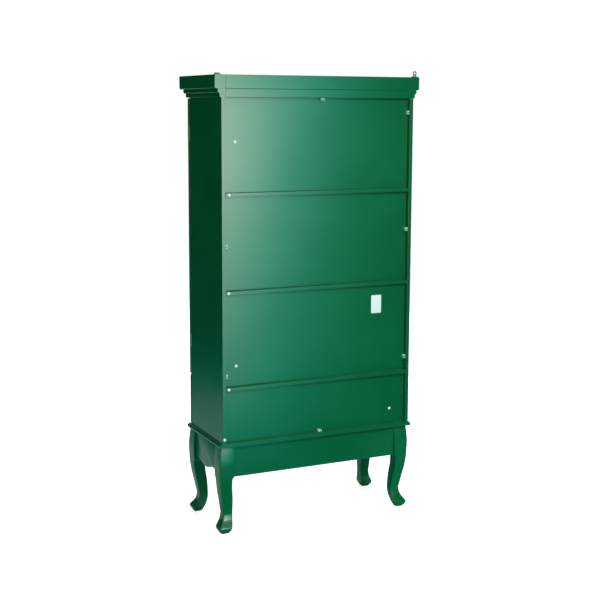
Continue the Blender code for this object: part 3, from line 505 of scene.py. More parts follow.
def close_tree(tree, given, one, axis):
    """End a tree: one shape on every seat, with its axis turned the way the seat faces."""
    facing = add(
        tree, "GeometryNodeInputNamedAttribute", {"Name": "facing"}, data_type="FLOAT_VECTOR"
    ).outputs["Attribute"]
    turn = add(tree, "FunctionNodeAlignRotationToVector", {"Vector": facing}, axis=axis).outputs[0]
    every = add(
        tree,
        "GeometryNodeInstanceOnPoints",
        {"Points": given["Seats"], "Instance": one, "Rotation": turn},
    ).outputs[0]
    real = add(tree, "GeometryNodeRealizeInstances", {"Geometry": every}).outputs[0]
    dressed = add(
        tree, "GeometryNodeSetMaterial", {"Geometry": real, "Material": given["Finish"]}
    ).outputs[0]
    add(tree, "NodeGroupOutput", {"Pieces": dressed})
    return tree


def apron_tree():
    """Geometry nodes for a scalloped apron: a drop in its lower edge, with an ogee to each side.

    The board hangs from its seat, and its length runs the way the seat faces.
    """
    sizes = {"Length": 0.3, "Low": -0.13, "Rise": 0.018, "Drop": 0.03, "Ogee": 0.1}
    tree, given = open_tree("scalloped_apron", {**sizes, "Forward": 0.0, "Thickness": 0.018})
    grid = {"Size X": given["Length"], "Size Y": 2.0, "Vertices X": 321, "Vertices Y": 2}
    blank = add(tree, "GeometryNodeMeshGrid", grid).outputs["Mesh"]
    point = add(tree, "GeometryNodeInputPosition").outputs[0]
    along = add(tree, "ShaderNodeSeparateXYZ", {"Vector": point}).outputs
    off = add(tree, "ShaderNodeMath", {0: along["X"], 1: given["Forward"]}, operation="SUBTRACT")
    off = add(tree, "ShaderNodeMath", {0: off.outputs[0]}, operation="ABSOLUTE").outputs[0]
    inner = add(tree, "ShaderNodeMath", {0: given["Drop"], 1: 0.5}, operation="MULTIPLY").outputs[0]
    outer = add(tree, "ShaderNodeMath", {0: inner, 1: given["Ogee"]}, operation="ADD").outputs[0]
    high = add(tree, "ShaderNodeMath", {0: given["Low"], 1: given["Rise"]}, operation="ADD").outputs[0]
    scallop = add(
        tree,
        "ShaderNodeMapRange",
        {"Value": off, "From Min": inner, "From Max": outer, "To Min": given["Low"], "To Max": high},
        interpolation_type="SMOOTHSTEP",
    ).outputs["Result"]
    lower = add(tree, "ShaderNodeMath", {0: along["Y"], 1: 0.0}, operation="LESS_THAN").outputs[0]
    level = add(tree, "ShaderNodeMath", {0: scallop, 1: lower}, operation="MULTIPLY").outputs[0]
    edge = add(tree, "ShaderNodeCombineXYZ", {"X": along["X"], "Z": level}).outputs[0]
    face = add(tree, "GeometryNodeSetPosition", {"Geometry": blank, "Position": edge}).outputs[0]
    sawn = add(
        tree,
        "GeometryNodeExtrudeMesh",
        {"Mesh": face, "Offset Scale": given["Thickness"], "Individual": False},
        mode="FACES",
    ).outputs["Mesh"]
    both = add(tree, "GeometryNodeJoinGeometry", {"Geometry": sawn})
    back = add(tree, "GeometryNodeFlipFaces", {"Mesh": face}).outputs[0]
    tree.links.new(back, both.inputs["Geometry"])
    board = add(tree, "GeometryNodeMergeByDistance", {"Geometry": both.outputs[0], "Distance": 1e-6})
    half = add(tree, "ShaderNodeMath", {0: given["Thickness"], 1: 0.5}, operation="MULTIPLY").outputs[0]
    centre = add(tree, "ShaderNodeCombineXYZ", {"Y": half}).outputs[0]
    hung = {"Geometry": board.outputs[0], "Translation": centre}
    return close_tree(tree, given, add(tree, "GeometryNodeTransform", hung).outputs[0], "X")


def bead_tree():
    """Geometry nodes for a quarter-round bead that runs round a pane, mitred at its corners."""
    sizes = {"Pane width": 0.3, "Pane height": 1.0, "Bead width": 0.008, "Bead thickness": 0.008}
    tree, given = open_tree("glazing_bead", sizes)
    frame_line = {"Width": given["Pane width"], "Height": given["Pane height"]}
    path = add(tree, "GeometryNodeCurvePrimitiveQuadrilateral", frame_line).outputs[0]
    arc = {"Resolution": 9, "Radius": 1.0, "Start Angle": math.pi / 2, "Sweep Angle": math.pi / 2}
    quarter = add(tree, "GeometryNodeCurveArc", {**arc, "Connect Center": True}).outputs["Curve"]
    mitre = add(
        tree, "ShaderNodeMath", {0: given["Bead width"], 1: math.sqrt(2)}, operation="MULTIPLY"
    ).outputs[0]
    size = add(tree, "ShaderNodeCombineXYZ", {"X": mitre, "Y": given["Bead thickness"], "Z": 1.0})
    section = add(tree, "GeometryNodeTransform", {"Geometry": quarter, "Scale": size.outputs[0]})
    run = {"Curve": path, "Profile Curve": section.outputs[0]}
    return close_tree(tree, given, add(tree, "GeometryNodeCurveToMesh", run).outputs[0], "Z")


def fitting_tree(name, profile, sides, square=False, cross=False):
    """Geometry nodes that raise one small fitting on every seat.

    The profile lists shares of the radius and of the height from the seat up, over a disc or a
    rounded square. A cross recess is cut for a screwdriver on request.
    """
    sizes = {"Width": 0.012, "Depth": 0.012, "Height": 0.003, "Lift": 0.0}
    tree, given = open_tree(name, sizes)
    if square:
        corner = 0.42
        edge = add(tree, "GeometryNodeCurvePrimitiveQuadrilateral", {"Width": 2.0, "Height": 2.0})
        edge = add(
            tree,
            "GeometryNodeFilletCurve",
            {"Curve": edge.outputs[0], "Count": sides // 4, "Radius": corner},
            mode="POLY",
        )
        seat = add(tree, "GeometryNodeFillCurve", {"Curve": edge.outputs[0]}, mode="NGONS").outputs[0]
    else:
        disc = {"Vertices": sides, "Radius": 1.0}
        seat = add(tree, "GeometryNodeMeshCircle", disc, fill_type="NGON").outputs[0]
    solid, top, radius, height = seat, None, 1.0, 0.0
    for share, level in profile:
        inputs = {"Mesh": solid, "Offset Scale": level - height, "Individual": False}
        if top:
            inputs["Selection"] = top
        risen = add(tree, "GeometryNodeExtrudeMesh", inputs, mode="FACES")
        top = risen.outputs["Top"]
        inputs = {"Geometry": risen.outputs["Mesh"], "Selection": top, "Scale": share / radius}
        solid = add(tree, "GeometryNodeScaleElements", inputs, domain="FACE").outputs[0]
        radius, height = share, level
    under = add(tree, "GeometryNodeFlipFaces", {"Mesh": seat}).outputs[0]
    both = add(tree, "GeometryNodeJoinGeometry", {"Geometry": solid})
    tree.links.new(under, both.inputs["Geometry"])
    solid = add(
        tree, "GeometryNodeMergeByDistance", {"Geometry": both.outputs[0], "Distance": 1e-4}
    ).outputs[0]
    if cross:
        long, narrow, deep = 1.1, 0.22, 0.9
        for arm in ((long, narrow, deep), (narrow, long, deep)):
            slot = add(tree, "GeometryNodeMeshCube", {"Size": arm}).outputs[0]
            slot = add(
                tree, "GeometryNodeTransform", {"Geometry": slot, "Translation": (0.0, 0.0, 1.0)}
            ).outputs[0]
            solid = add(
                tree,
                "GeometryNodeMeshBoolean",
                {"Mesh 1": solid, "Mesh 2": slot},
                operation="DIFFERENCE",
                solver="EXACT",
            ).outputs[0]

    halves = {}
    for axis, label in (("X", "Width"), ("Y", "Depth")):
        half = add(tree, "ShaderNodeMath", {0: given[label], 1: 0.5}, operation="MULTIPLY")
        halves[axis] = half.outputs[0]
    size = add(tree, "ShaderNodeCombineXYZ", {**halves, "Z": given["Height"]}).outputs[0]
    lift = add(tree, "ShaderNodeCombineXYZ", {"Z": given["Lift"]}).outputs[0]
    one = add(
        tree, "GeometryNodeTransform", {"Geometry": solid, "Scale": size, "Translation": lift}
    ).outputs[0]
    return close_tree(tree, given, one, "Z")


def made_by(tree, name, seats, finish, sizes):
    """The plain mesh that a tree makes on its seats, each a point and the way it faces."""
    points = bpy.data.meshes.new(f"{name}_seats")
    points.from_pydata([seat for seat, facing in seats], [], [])
    facings = points.attributes.new("facing", "FLOAT_VECTOR", "POINT")
    for item, (seat, facing) in zip(facings.data, seats):
        item.vector = facing
    holder = bpy.data.objects.new(points.name, points)
    nodes = holder.modifiers.new(tree.name, "NODES")
    nodes.node_group = tree
    values = {**sizes, "Finish": bpy.data.materials[finish]}
    for socket in tree.interface.items_tree:
        if socket.in_out == "INPUT" and socket.name in values:
            nodes[socket.identifier] = values[socket.name]
    bpy.context.scene.collection.objects.link(holder)
    mesh = bpy.data.meshes.new_from_object(holder.evaluated_get(bpy.context.evaluated_depsgraph_get()))
    bpy.data.objects.remove(holder)
    bpy.data.meshes.remove(points)
    mesh.name = name
    return mesh


def set_fittings(name, tree, seats, body, finish, size, lift=0.0):
    """Set a fitting on each seat, as one piece."""
    sizes = {**dict(zip(("Width", "Depth", "Height"), size)), "Lift": lift}
    mesh = made_by(tree, name, seats, finish, sizes)
    mesh.shade_smooth()
    mesh.set_sharp_from_angle(angle=math.radians(SMOOTH_ANGLE))
    place(name, mesh, body, finish)


def colour_setting(name, about, code):
    """A colour that a user may change, from its sRGB hex code."""
    return bpy.props.FloatVectorProperty(
        name=name, description=about, subtype="COLOR", default=linear(code)[:3]
    )


def length_setting(name, about, metres):
    """A length that a user may change."""
    return bpy.props.FloatProperty(name=name, description=about, unit="LENGTH", default=metres)


def light_setting(name, about, level, subtype="NONE"):
    """A level of light that a user may change."""
    return bpy.props.FloatProperty(name=name, description=about, subtype=subtype, default=level, min=0.0)


class CabinetFinishes(bpy.types.PropertyGroup):
    """Colours of the cabinet's materials."""

    lacquer: colour_setting("Lacquer", "Green of the painted boards", "#006339")
    glass: colour_setting("Glass", "Tint of the door panes", "#f4fbf7")
    brass: colour_setting("Brass", "Clean colour of the knobs and hinges", "#c9a364")
    steel: colour_setting("Steel", "Plating of the anti-tip eyes and the clips' screws", "#4b4d4f")
    zinc: colour_setting("Zinc", "Plating of the eye plates' screws", "#b9bdc2")
    cap: colour_setting("Cap", "Plastic of the screw caps", "#f6fffd")
    # The clips' mint tinge is painted light: the green that the lacquer around them casts into the milky plastic
    clip: colour_setting("Clip", "Milky plastic of the panel clips, tinged by the paint", "#bffbe4")
    paper: colour_setting("Paper", "Blank label on the back", "#ffffff")


class CabinetSizes(bpy.types.PropertyGroup):
    """Sizes of the mouldings and fittings that a maker would change."""

    leg_sections: bpy.props.IntProperty(
        name="Leg sections",
        description="Sections that each cabriole leg is drawn through",
        default=110,
        min=20,
        max=300,
    )
    edge_round: length_setting("Sanded edge", "Rounding of the aprons' edges; door frames have half", 0.0012)
    scallop_rise: length_setting("Scallop rise", "How far the aprons' ends rise above the drop", 0.0175)
    bead_width: length_setting("Glazing bead", "Width of the beads that hold the panes", 0.0078)
    cap_diameter: length_setting("Cap diameter", "Diameter of the round caps on the rear", 0.0125)
    clip_width: length_setting("Clip width", "Width of the panel clips, along their board", 0.0165)
    clip_height: length_setting("Clip height", "How far the panel clips stand off their board", 0.0100)
    clip_recess: length_setting("Clip recess", "How far the clips lie in behind the rear edges", 0.0025)
    label_width: length_setting("Label width", "Width of the blank label", 0.050)
    label_height: length_setting("Label height", "Height of the blank label", 0.080)


class CabinetStage(bpy.types.PropertyGroup):
    """Camera and light of the studio."""

    camera: bpy.props.FloatVectorProperty(
        name="Camera",
        description="Where the camera stands",
        subtype="TRANSLATION",
        unit="LENGTH",
        default=(2.2695, 4.7121, 1.8045),
    )
    turn: bpy.props.FloatVectorProperty(
        name="Turn",
        description="Camera's yaw from straight behind, pitch below level, and roll",
        subtype="EULER",
        default=(math.radians(25.303), math.radians(7.990), math.radians(0.178)),
    )
    lens: bpy.props.FloatProperty(
        name="Lens",
        description="Focal length on a 36 mm sensor",
        subtype="DISTANCE_CAMERA",
        default=71.437,
    )
    shift: bpy.props.FloatVectorProperty(
        name="Shift",
        description="How far the lens is shifted across and up, in shares of the sensor",
        size=2,
        default=(0.01607, -0.04239),
    )
    ambient: light_setting("Ambient", "Level of the even light from all round", 0.36)
    # The sweep is a glowing card seen only in gloss: this sets the brightness of the painted sheen on the back
    sweep: light_setting("Sweep", "Brightness of the lit sweep that shows in the back's gloss", 11.8)
    rear_key: light_setting("Rear key", "Power of the lamp on the back", 540.0, "POWER")
    front_fill: light_setting("Front fill", "Power of the lamp on the front", 190.0, "POWER")


class CABINET_OT_finishes(bpy.types.Operator):
    """Make the finishes and give each CAD piece the one of its material slot"""

    bl_idname = "cabinet.finishes"
    bl_label = "Finishes"

    def execute(self, context):
        colours = context.scene.cabinet_finishes
        satin_lacquer(colours)
        float_glass(colours)
        aged_brass(colours)
        blackened_steel(colours)
        zinc_plate(colours)
        moulded_plastic("white_cap_plastic", colours.cap, 0.0)
        moulded_plastic("milky_clip_plastic", colours.clip, 0.04)
        label_paper(colours)
        for node, piece in frame["nodes"].items():
            piece.data.materials.clear()
            piece.data.materials.append(bpy.data.materials[FINISH_OF_SLOT[SLOT_OF[node]]])
        return {"FINISHED"}


class CABINET_OT_legs(bpy.types.Operator):
    """Draw the four cabriole legs with their full curves"""

    bl_idname = "cabinet.legs"
    bl_label = "Cabriole legs"

    def execute(self, context):
        sections = context.scene.cabinet_sizes.leg_sections
        for end, from_front in (("front", True), ("rear", False)):
            for side, sign in SIDES.items():
                node = f"leg_{end}_{side}"
                mesh = leg_mesh(f"{node}_shaped", sign, from_front, sections, edge_steps=6)
                place(f"{node}_shaped", mesh, BODY_OF[node], LACQUER, node)
        return {"FINISHED"}


class CABINET_OT_aprons(bpy.types.Operator):
    """Cut the scalloped aprons with sanded edges"""

    bl_idname = "cabinet.aprons"
    bl_label = "Scalloped aprons"

    def execute(self, context):
        sizes = context.scene.cabinet_sizes
        tree = apron_tree()
        top = BASE_UNDER - FIT
        for node in ("apron_front", "apron_left", "apron_right"):
            near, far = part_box(node)
            middle, size = (near + far) / 2, far - near
            if node == "apron_front":
                length, thick, along = size.x, size.y, Vector((1, 0, 0))
                drop, ogee, forward = FRONT_SCALLOP
            else:
                length, thick, along = size.y, size.x, Vector((0, -1, 0))
                drop, ogee, forward = (share * length for share in SIDE_SCALLOP)
            cut = {"Length": length, "Thickness": thick, "Drop": drop, "Ogee": ogee, "Forward": forward}
            cut.update({"Low": near.z - top, "Rise": sizes.scallop_rise})
            seats = [(Vector((middle.x, middle.y, top)), along)]
            sawn = made_by(tree, f"{node}_sawn", seats, LACQUER, cut)
            name = f"{node}_shaped"
            place(name, softened(sawn, sizes.edge_round, name, angle=50), BODY_OF[node], LACQUER, node)
        return {"FINISHED"}


class CABINET_OT_base_plate(bpy.types.Operator):
    """Run the base plate's nose with its full rounding"""

    bl_idname = "cabinet.base_plate"
    bl_label = "Base plate"

    def execute(self, context):
        near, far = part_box("base_plate")
        upper = far.z - near.z - BASE_NOSE_HIGH
        arcs = ((BASE_NOSE_LOW, BASE_NOSE_LOW, -math.pi / 2), (BASE_NOSE_HIGH, upper, 0.0))
        steps = 10
        rings = []
        for radius, centre, start in arcs:
            for step in range(steps + 1):
                turn = start + math.pi / 2 * step / steps
                inset = radius * (1 - math.cos(turn))
                left, right, front = near.x + inset, far.x - inset, near.y + inset
                corner = BASE_CORNER - inset
                plan = [(right, far.y, 0), (right, front, corner), (left, front, corner), (left, far.y, 0)]
                z = near.z + centre + radius * math.sin(turn)
                rings.append([(x, y, z) for x, y in rounded(plan, steps=6)])
        shape = bmesh.new()
        skin(shape, rings)
        mesh = mesh_of(shape, "base_plate_moulded")
        place(mesh.name, mesh, BODY_OF["base_plate"], LACQUER, "base_plate")
        return {"FINISHED"}


class CABINET_OT_back_panels(bpy.types.Operator):
    """Push the thin back panels close to the boards, with their edges broken"""

    bl_idname = "cabinet.back_panels"
    bl_label = "Back panels"

    def execute(self, context):
        close = FIT * 0.9
        for level in ("drawer", "lower", "middle", "upper"):
            node = f"back_panel_{level}"
            near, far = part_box(node)
            front, rear = near.y + BROKEN_EDGE, far.y - BROKEN_EDGE
            rings = []
            for y, inset in ((near.y, BROKEN_EDGE), (front, 0.0), (rear, 0.0), (far.y, BROKEN_EDGE)):
                left, right = near.x + inset, far.x - inset
                low, high = near.z - close + inset, far.z + close - inset
                rings.append([(left, y, low), (right, y, low), (right, y, high), (left, y, high)])
            shape = bmesh.new()
            skin(shape, rings)
            name = f"{node}_fitted"
            place(name, mesh_of(shape, name), BODY_OF[node], LACQUER, node)
        return {"FINISHED"}


class CABINET_OT_crown(bpy.types.Operator):
    """Run the mitred crown mouldings with full roundings"""

    bl_idname = "cabinet.crown"
    bl_label = "Crown mouldings"

    def execute(self, context):
        mitre = FIT * math.sqrt(0.5)
        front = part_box("crown_front")[0].y + CROWN_OVERHANG

        def ends(node, tiers):
            for overhang, height in crown_profile(tiers, steps=12):
                z = CROWN_UNDER + height
                out = HALF_WIDTH + overhang
                if node == "crown_front":
                    y = front - overhang
                    yield (-(out - mitre), y, z), (out - mitre, y, z)
                else:
                    x = out if node == "crown_right" else -out
                    yield (x, REAR, z), (x, front - overhang + mitre, z)

        for node in ("crown_left", "crown_right", "crown_front"):
            shape = bmesh.new()
            for tiers in (CROWN_LOWER, CROWN_UPPER):
                skin(shape, list(zip(*ends(node, tiers))))
            name = f"{node}_moulded"
            place(name, mesh_of(shape, name, sharp=30), BODY_OF[node], LACQUER, node)
        return {"FINISHED"}


class CABINET_OT_doors(bpy.types.Operator):
    """Sand the door frames and fit the beads that hold the panes"""

    bl_idname = "cabinet.doors"
    bl_label = "Glazed doors"

    def execute(self, context):
        sizes = context.scene.cabinet_sizes
        tree = bead_tree()
        for side in SIDES:
            for member in ("hinge_stile", "meeting_stile", "bottom_rail", "top_rail"):
                node = f"door_{side}_{member}"
                name = f"{node}_sanded"
                mesh = softened(frame["nodes"][node].data, sizes.edge_round / 2, name)
                place(name, mesh, BODY_OF[node], LACQUER, node)
            self.fit_beads(tree, side, sizes.bead_width)
        return {"FINISHED"}

    def fit_beads(self, tree, side, width):
        """Quarter-round strips behind the pane, mitred at the corners."""
        pane = f"door_{side}_glass"
        near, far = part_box(pane)
        middle = (near + far) / 2
        seat = far.y + FIT / 3
        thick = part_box(f"door_{side}_top_rail")[1].y - 2 * FIT - seat
        sizes = {"Pane width": far.x - near.x, "Pane height": far.z - near.z}
        sizes.update({"Bead width": width, "Bead thickness": thick})
        seats = [(Vector((middle.x, seat, middle.z)), Vector((0, -1, 0)))]
        name = f"door_{side}_glazing_beads"
        shape = bmesh.new()
        shape.from_mesh(made_by(tree, f"{name}_run", seats, LACQUER, sizes))
        piece = place(name, mesh_of(shape, name), BODY_OF[pane], LACQUER)


class CABINET_OT_knobs(bpy.types.Operator):
    """Turn the knobs of the doors and the drawer"""

    bl_idname = "cabinet.knobs"
    bl_label = "Turned knobs"

    def execute(self, context):
        ball_steps, sides = 24, 48
        for node in ("door_left_knob", "door_right_knob", "drawer_knob_left", "drawer_knob_right"):
            near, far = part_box(node)
            radius, length = (far.x - near.x) / 2, far.y - near.y
            foot = Vector(((near.x + far.x) / 2, far.y, (near.z + far.z) / 2))
            ball = length * KNOB_BALL_SHARE
            middle = length - ball
            profile = [(radius * share, away) for share, away in KNOB_FOOT]
            start = math.pi - math.asin(KNOB_NECK_SHARE)
            for step in range(ball_steps + 1):
                turn = start * (1 - step / ball_steps)
                profile.append((radius * math.sin(turn), middle + ball * math.cos(turn)))
            profile[-1] = (0.0, length)
            shape = bmesh.new()
            turned(shape, profile, foot, (0, -1, 0), (1, 0, 0), sides)
            name = f"{node}_turned"
            place(name, mesh_of(shape, name, sharp=50), BODY_OF[node], "aged_brass", node)
        return {"FINISHED"}


class CABINET_OT_eyes(bpy.types.Operator):
    """Bend the anti-tip rings round, each with its neck and pin"""

    bl_idname = "cabinet.eyes"
    bl_label = "Anti-tip eyes"

    def execute(self, context):
        bends, sides, turned_sides = 56, 18, 24
        across = Vector((1, 0, 0))
        for side, way in (("left", Vector((0, 0, 1))), ("right", Vector((0, -1, 0)))):
            node = f"eye_ring_{side}"
            near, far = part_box(node)
            pivot = PIVOTS[f"eye_{side}_pivot"]
            through = across.cross(way)
            rings = []
            for bend in range(bends):
                turn = 2 * math.pi * bend / bends
                spoke = across * math.cos(turn) + way * math.sin(turn)
                middle = pivot + way * EYE_REACH + spoke * EYE_RING
                rolls = [2 * math.pi * corner / sides for corner in range(sides)]
                rims = [spoke * math.cos(roll) + through * math.sin(roll) for roll in rolls]
                rings.append([middle + rim * EYE_WIRE for rim in rims])
            shape = bmesh.new()
            skin(shape, rings, closed=True)
            half, tip = (far.x - near.x) / 2, EYE_PIN * 0.8
            pin = [(0.0, -half), (tip, -half), (EYE_PIN, EYE_PIN_EASE - half)]
            pin += [(EYE_PIN, half - EYE_PIN_EASE), (tip, half), (0.0, half)]
            turned(shape, pin, pivot, across, way, turned_sides)
            turned(shape, EYE_NECK, pivot, way, across, turned_sides)
            name = f"{node}_bent"
            place(name, mesh_of(shape, name, sharp=50), BODY_OF[node], "blackened_steel", node)
        return {"FINISHED"}


class CABINET_OT_fittings(bpy.types.Operator):
    """Set the caps, panel clips and screws with geometry nodes"""

    bl_idname = "cabinet.fittings"
    bl_label = "Caps, clips and screws"

    def execute(self, context):
        sizes = context.scene.cabinet_sizes
        cap_tree = fitting_tree("domed_cap", CAP_DOME, sides=28)
        clip_tree = fitting_tree("panel_clip", CLIP_BLOCK, sides=24, square=True)
        screw_tree = fitting_tree("cross_screw", SCREW_HEAD, sides=20, cross=True)
        self.set_caps(cap_tree, sizes)
        self.set_clips(clip_tree, screw_tree, sizes)
        self.screw_hinges(screw_tree)
        self.screw_eyes(screw_tree)
        return {"FINISHED"}

    def set_caps(self, tree, sizes):
        """Domed caps over the screws in the panels and in the boards' rear edges."""
        rear = Vector((0, 1, 0))
        seats = [(Vector((x, PANEL_REAR, z)), rear) for x, z in PANEL_CAPS]
        seats += [(Vector((x, REAR, z)), rear) for x, z in EDGE_CAPS]
        size = (sizes.cap_diameter, sizes.cap_diameter, CAP_HEIGHT)
        set_fittings("rear_screw_caps", tree, seats, "carcass", "white_cap_plastic", size)

    def set_clips(self, clip_tree, screw_tree, sizes):
        """Clips in the corners of panels and boards, each with its screw."""
        rear = Vector((0, 1, 0))
        low, wide, tall = sizes.clip_height / 2 + FIT, sizes.clip_height, sizes.clip_width
        deep = REAR - PANEL_REAR - sizes.clip_recess
        upright = [(Vector((sign * (INNER_HALF - low), PANEL_REAR, z)), rear) for sign, z in SIDE_CLIPS]
        level = [
            (Vector((TOP_CLIP_X, PANEL_REAR, CROWN_UNDER - low)), rear),
            (Vector((BOTTOM_CLIP_X, PANEL_REAR, BASE_TOP + low)), rear),
        ]
        for where, seats, size in (
            ("side", upright, (wide, tall, deep)),
            ("middle", level, (tall, wide, deep)),
        ):
            clips, screws = f"panel_clips_{where}", f"panel_clip_screws_{where}"
            lift = deep - CLIP_SCREW_SUNK
            set_fittings(clips, clip_tree, seats, "carcass", "milky_clip_plastic", size)
            set_fittings(screws, screw_tree, seats, "carcass", "blackened_steel", CLIP_SCREW, lift)

    def screw_hinges(self, tree):
        """Three flush screws in each hinge leaf."""
        for half, way in (("fixed", 1), ("moving", -1)):
            facing = Vector((0, -way, 0))
            for side, sign in SIDES.items():
                y = PIVOTS[f"door_{side}_hinge"].y + way * HINGE_SCREW_OFF_PIN
                seats = []
                for level in ("lower", "upper"):
                    near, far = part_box(f"hinge_{side}_{level}_leaf_{half}")
                    x = (near.x + far.x) / 2 - sign * HINGE_SCREW_IN
                    for share in HINGE_SCREW_SHARES:
                        seats.append((Vector((x, y, near.z + share * (far.z - near.z))), facing))
                body = BODY_OF[f"hinge_{side}_upper_leaf_{half}"]
                set_fittings(f"hinge_screws_{side}_{half}", tree, seats, body, "aged_brass", HINGE_SCREW)

    def screw_eyes(self, tree):
        """Two screws in each eye plate, outside its ears."""
        seats = []
        for side in SIDES:
            near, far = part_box(f"eye_plate_{side}")
            y, z = (near.y + far.y) / 2, near.z + EYE_PLATE_THICK
            for x in (near.x + EYE_SCREW_IN, far.x - EYE_SCREW_IN):
                seats.append((Vector((x, y, z)), Vector((0, 0, 1))))
        set_fittings("eye_plate_screws", tree, seats, "carcass", "zinc_plated_steel", EYE_SCREW)


class CABINET_OT_label(bpy.types.Operator):
    """Stick the blank label on the back"""

    bl_idname = "cabinet.label"
    bl_label = "Blank label"

    def execute(self, context):
        sizes = context.scene.cabinet_sizes
        x, z = LABEL_PLACE
        half_w, half_h = sizes.label_width / 2, sizes.label_height / 2
        corners = [(-half_w, -half_h), (half_w, -half_h), (half_w, half_h), (-half_w, half_h)]
        outline = rounded([(*corner, LABEL_CORNER) for corner in corners], steps=5)
        layers = []
        for inset, lift in LABEL_LAYERS:
            scale_u, scale_v = 1 - inset / half_w, 1 - inset / half_h
            layers.append([(x + u * scale_u, PANEL_REAR + lift, z + v * scale_v) for u, v in outline])
        shape = bmesh.new()
        skin(shape, layers)
        place("blank_label", mesh_of(shape, "blank_label"), "carcass", "label_paper")
        return {"FINISHED"}


class CABINET_OT_stage(bpy.types.Operator):
    """Lay the floor, hang the lamps and stand the camera where the photograph was taken"""

    bl_idname = "cabinet.stage"
    bl_label = "Stage"

    def execute(self, context):
        values = context.scene.cabinet_stage
        self.stand_camera(values)
        self.light_world(values.ambient)
        self.lay_floor()
        self.hang_sheen_card(values.sweep)
        self.hang_flags()
        key = self.hang_lamp("rear_key", (-0.9, 8.5, 6.0), (0, 0, 1.0), values.rear_key)
        key.visible_glossy = False
        self.hang_lamp("front_fill", (-2.6, -4.2, 3.2), (0, 0, 0.9), values.front_fill)
        context.scene.view_settings.view_transform = "Standard"
        return {"FINISHED"}

    def stand_camera(self, values):
        """The camera, turned by its yaw, pitch and roll."""
        yaw, pitch, roll = values.turn
        level = math.cos(pitch)
        ahead = Vector((-math.sin(yaw) * level, -math.cos(yaw) * level, -math.sin(pitch)))
        right = ahead.cross(Vector((0, 0, 1))).normalized()
        up = right.cross(ahead)
        across = right * math.cos(roll) + up * math.sin(roll)
        upward = up * math.cos(roll) - right * math.sin(roll)
        axes = Matrix((across, upward, -ahead)).transposed().to_4x4()
        lens = bpy.data.cameras.new("camera")
        lens.sensor_width = 36.0
        lens.lens = values.lens
        lens.shift_x, lens.shift_y = values.shift
        camera = in_scene("camera", lens)
        camera.matrix_world = Matrix.Translation(values.camera) @ axes
        bpy.context.scene.camera = camera

    def light_world(self, ambient):
        """White where it is seen, in gloss and through glass too; dimmer as a light."""
        world = bpy.data.worlds.new("studio")
        world.use_nodes = True
        tree = world.node_tree
        tree.nodes.clear()
        path = add(tree, "ShaderNodeLightPath").outputs
        seen = path["Is Camera Ray"]
        for kind in ("Is Glossy Ray", "Is Transmission Ray"):
            seen = add(tree, "ShaderNodeMath", {0: seen, 1: path[kind]}, operation="MAXIMUM").outputs[0]
        level = add(tree, "ShaderNodeMapRange", {"Value": seen, "To Min": ambient, "To Max": 1.0})
        white = {"Color": (1.0, 1.0, 1.0, 1.0), "Strength": level.outputs["Result"]}
        light = add(tree, "ShaderNodeBackground", white)
        add(tree, "ShaderNodeOutputWorld", {"Surface": light.outputs[0]})
        bpy.context.scene.world = world

    def card(self, name, rows, material):
        """A stage card skinned over rows of (one end, other end, share of the way up)."""
        mesh = bpy.data.meshes.new(name)
        points = [end for row in rows for end in row[:2]]
        faces = [(2 * k, 2 * k + 1, 2 * k + 3, 2 * k + 2) for k in range(len(rows) - 1)]
        mesh.from_pydata(points, [], faces)
        layer = mesh.uv_layers.new(name="card")
        for loop, item in zip(mesh.loops, layer.data):
            item.uv = (loop.vertex_index % 2, rows[loop.vertex_index // 2][2])
        mesh.materials.append(material)
        card = in_scene(name, mesh)
        return card

    def lay_floor(self):
        """Pale floor that is white to the camera but for the cabinet's soft shadow.

        In gloss and as a light it is tinted, which paints the colour of the reflections and bounce
        light on the cabinet: deeper behind the cabinet than before it, and plainer past the rear right corner.
        """
        # Painted reflection and bounce colours: the floor has these only in gloss and as a light
        before, behind, past = (0.45, 0.72, 0.66, 1.0), (0.06, 0.62, 0.48, 1.0), (0.36, 0.6, 0.52, 1.0)
        material, tree, where = new_material("pale_floor")
        spot = add(tree, "ShaderNodeSeparateXYZ", {"Vector": where["Object"]}).outputs
        shares = []
        for axis, start, end in (("Y", -0.45, 0.35), ("X", 0.55, 0.8), ("Y", 0.3, 0.5)):
            span = {"Value": spot[axis], "From Min": start, "From Max": end}
            shares.append(add(tree, "ShaderNodeMapRange", span).outputs["Result"])
        tone = add(tree, "ShaderNodeValToRGB", {"Fac": shares[0]}, ramp=((0.0, before), (1.0, behind)))
        corner = add(tree, "ShaderNodeMath", {0: shares[1], 1: shares[2]}, operation="MULTIPLY")
        # Sockets 6 and 7 are the colours of a Mix node, and its third output is their mix
        tints = {"Factor": corner.outputs[0], 6: tone.outputs["Color"], 7: past}
        tint = add(tree, "ShaderNodeMix", tints, data_type="RGBA").outputs[2]
        matt = add(tree, "ShaderNodeBsdfDiffuse", {"Color": tint})
        shade = add(tree, "ShaderNodeBsdfDiffuse", {"Color": (0.8, 0.8, 0.8, 1.0)})
        glow = add(tree, "ShaderNodeEmission", {"Strength": 0.73})
        lit = add(tree, "ShaderNodeAddShader", {0: shade.outputs[0], 1: glow.outputs[0]})
        path = add(tree, "ShaderNodeLightPath").outputs
        direct = {0: path["Is Camera Ray"], 1: path["Is Transmission Ray"]}
        seen = add(tree, "ShaderNodeMath", direct, operation="MAXIMUM").outputs[0]
        both = add(tree, "ShaderNodeMixShader", {0: seen, 1: matt.outputs[0], 2: lit.outputs[0]})
        finished(material, tree, both)
        reach = 60.0
        rows = [((-reach, y, 0.0), (reach, y, 0.0), share) for y, share in ((-reach, 0.0), (reach, 1.0))]
        self.card("floor", rows, material)

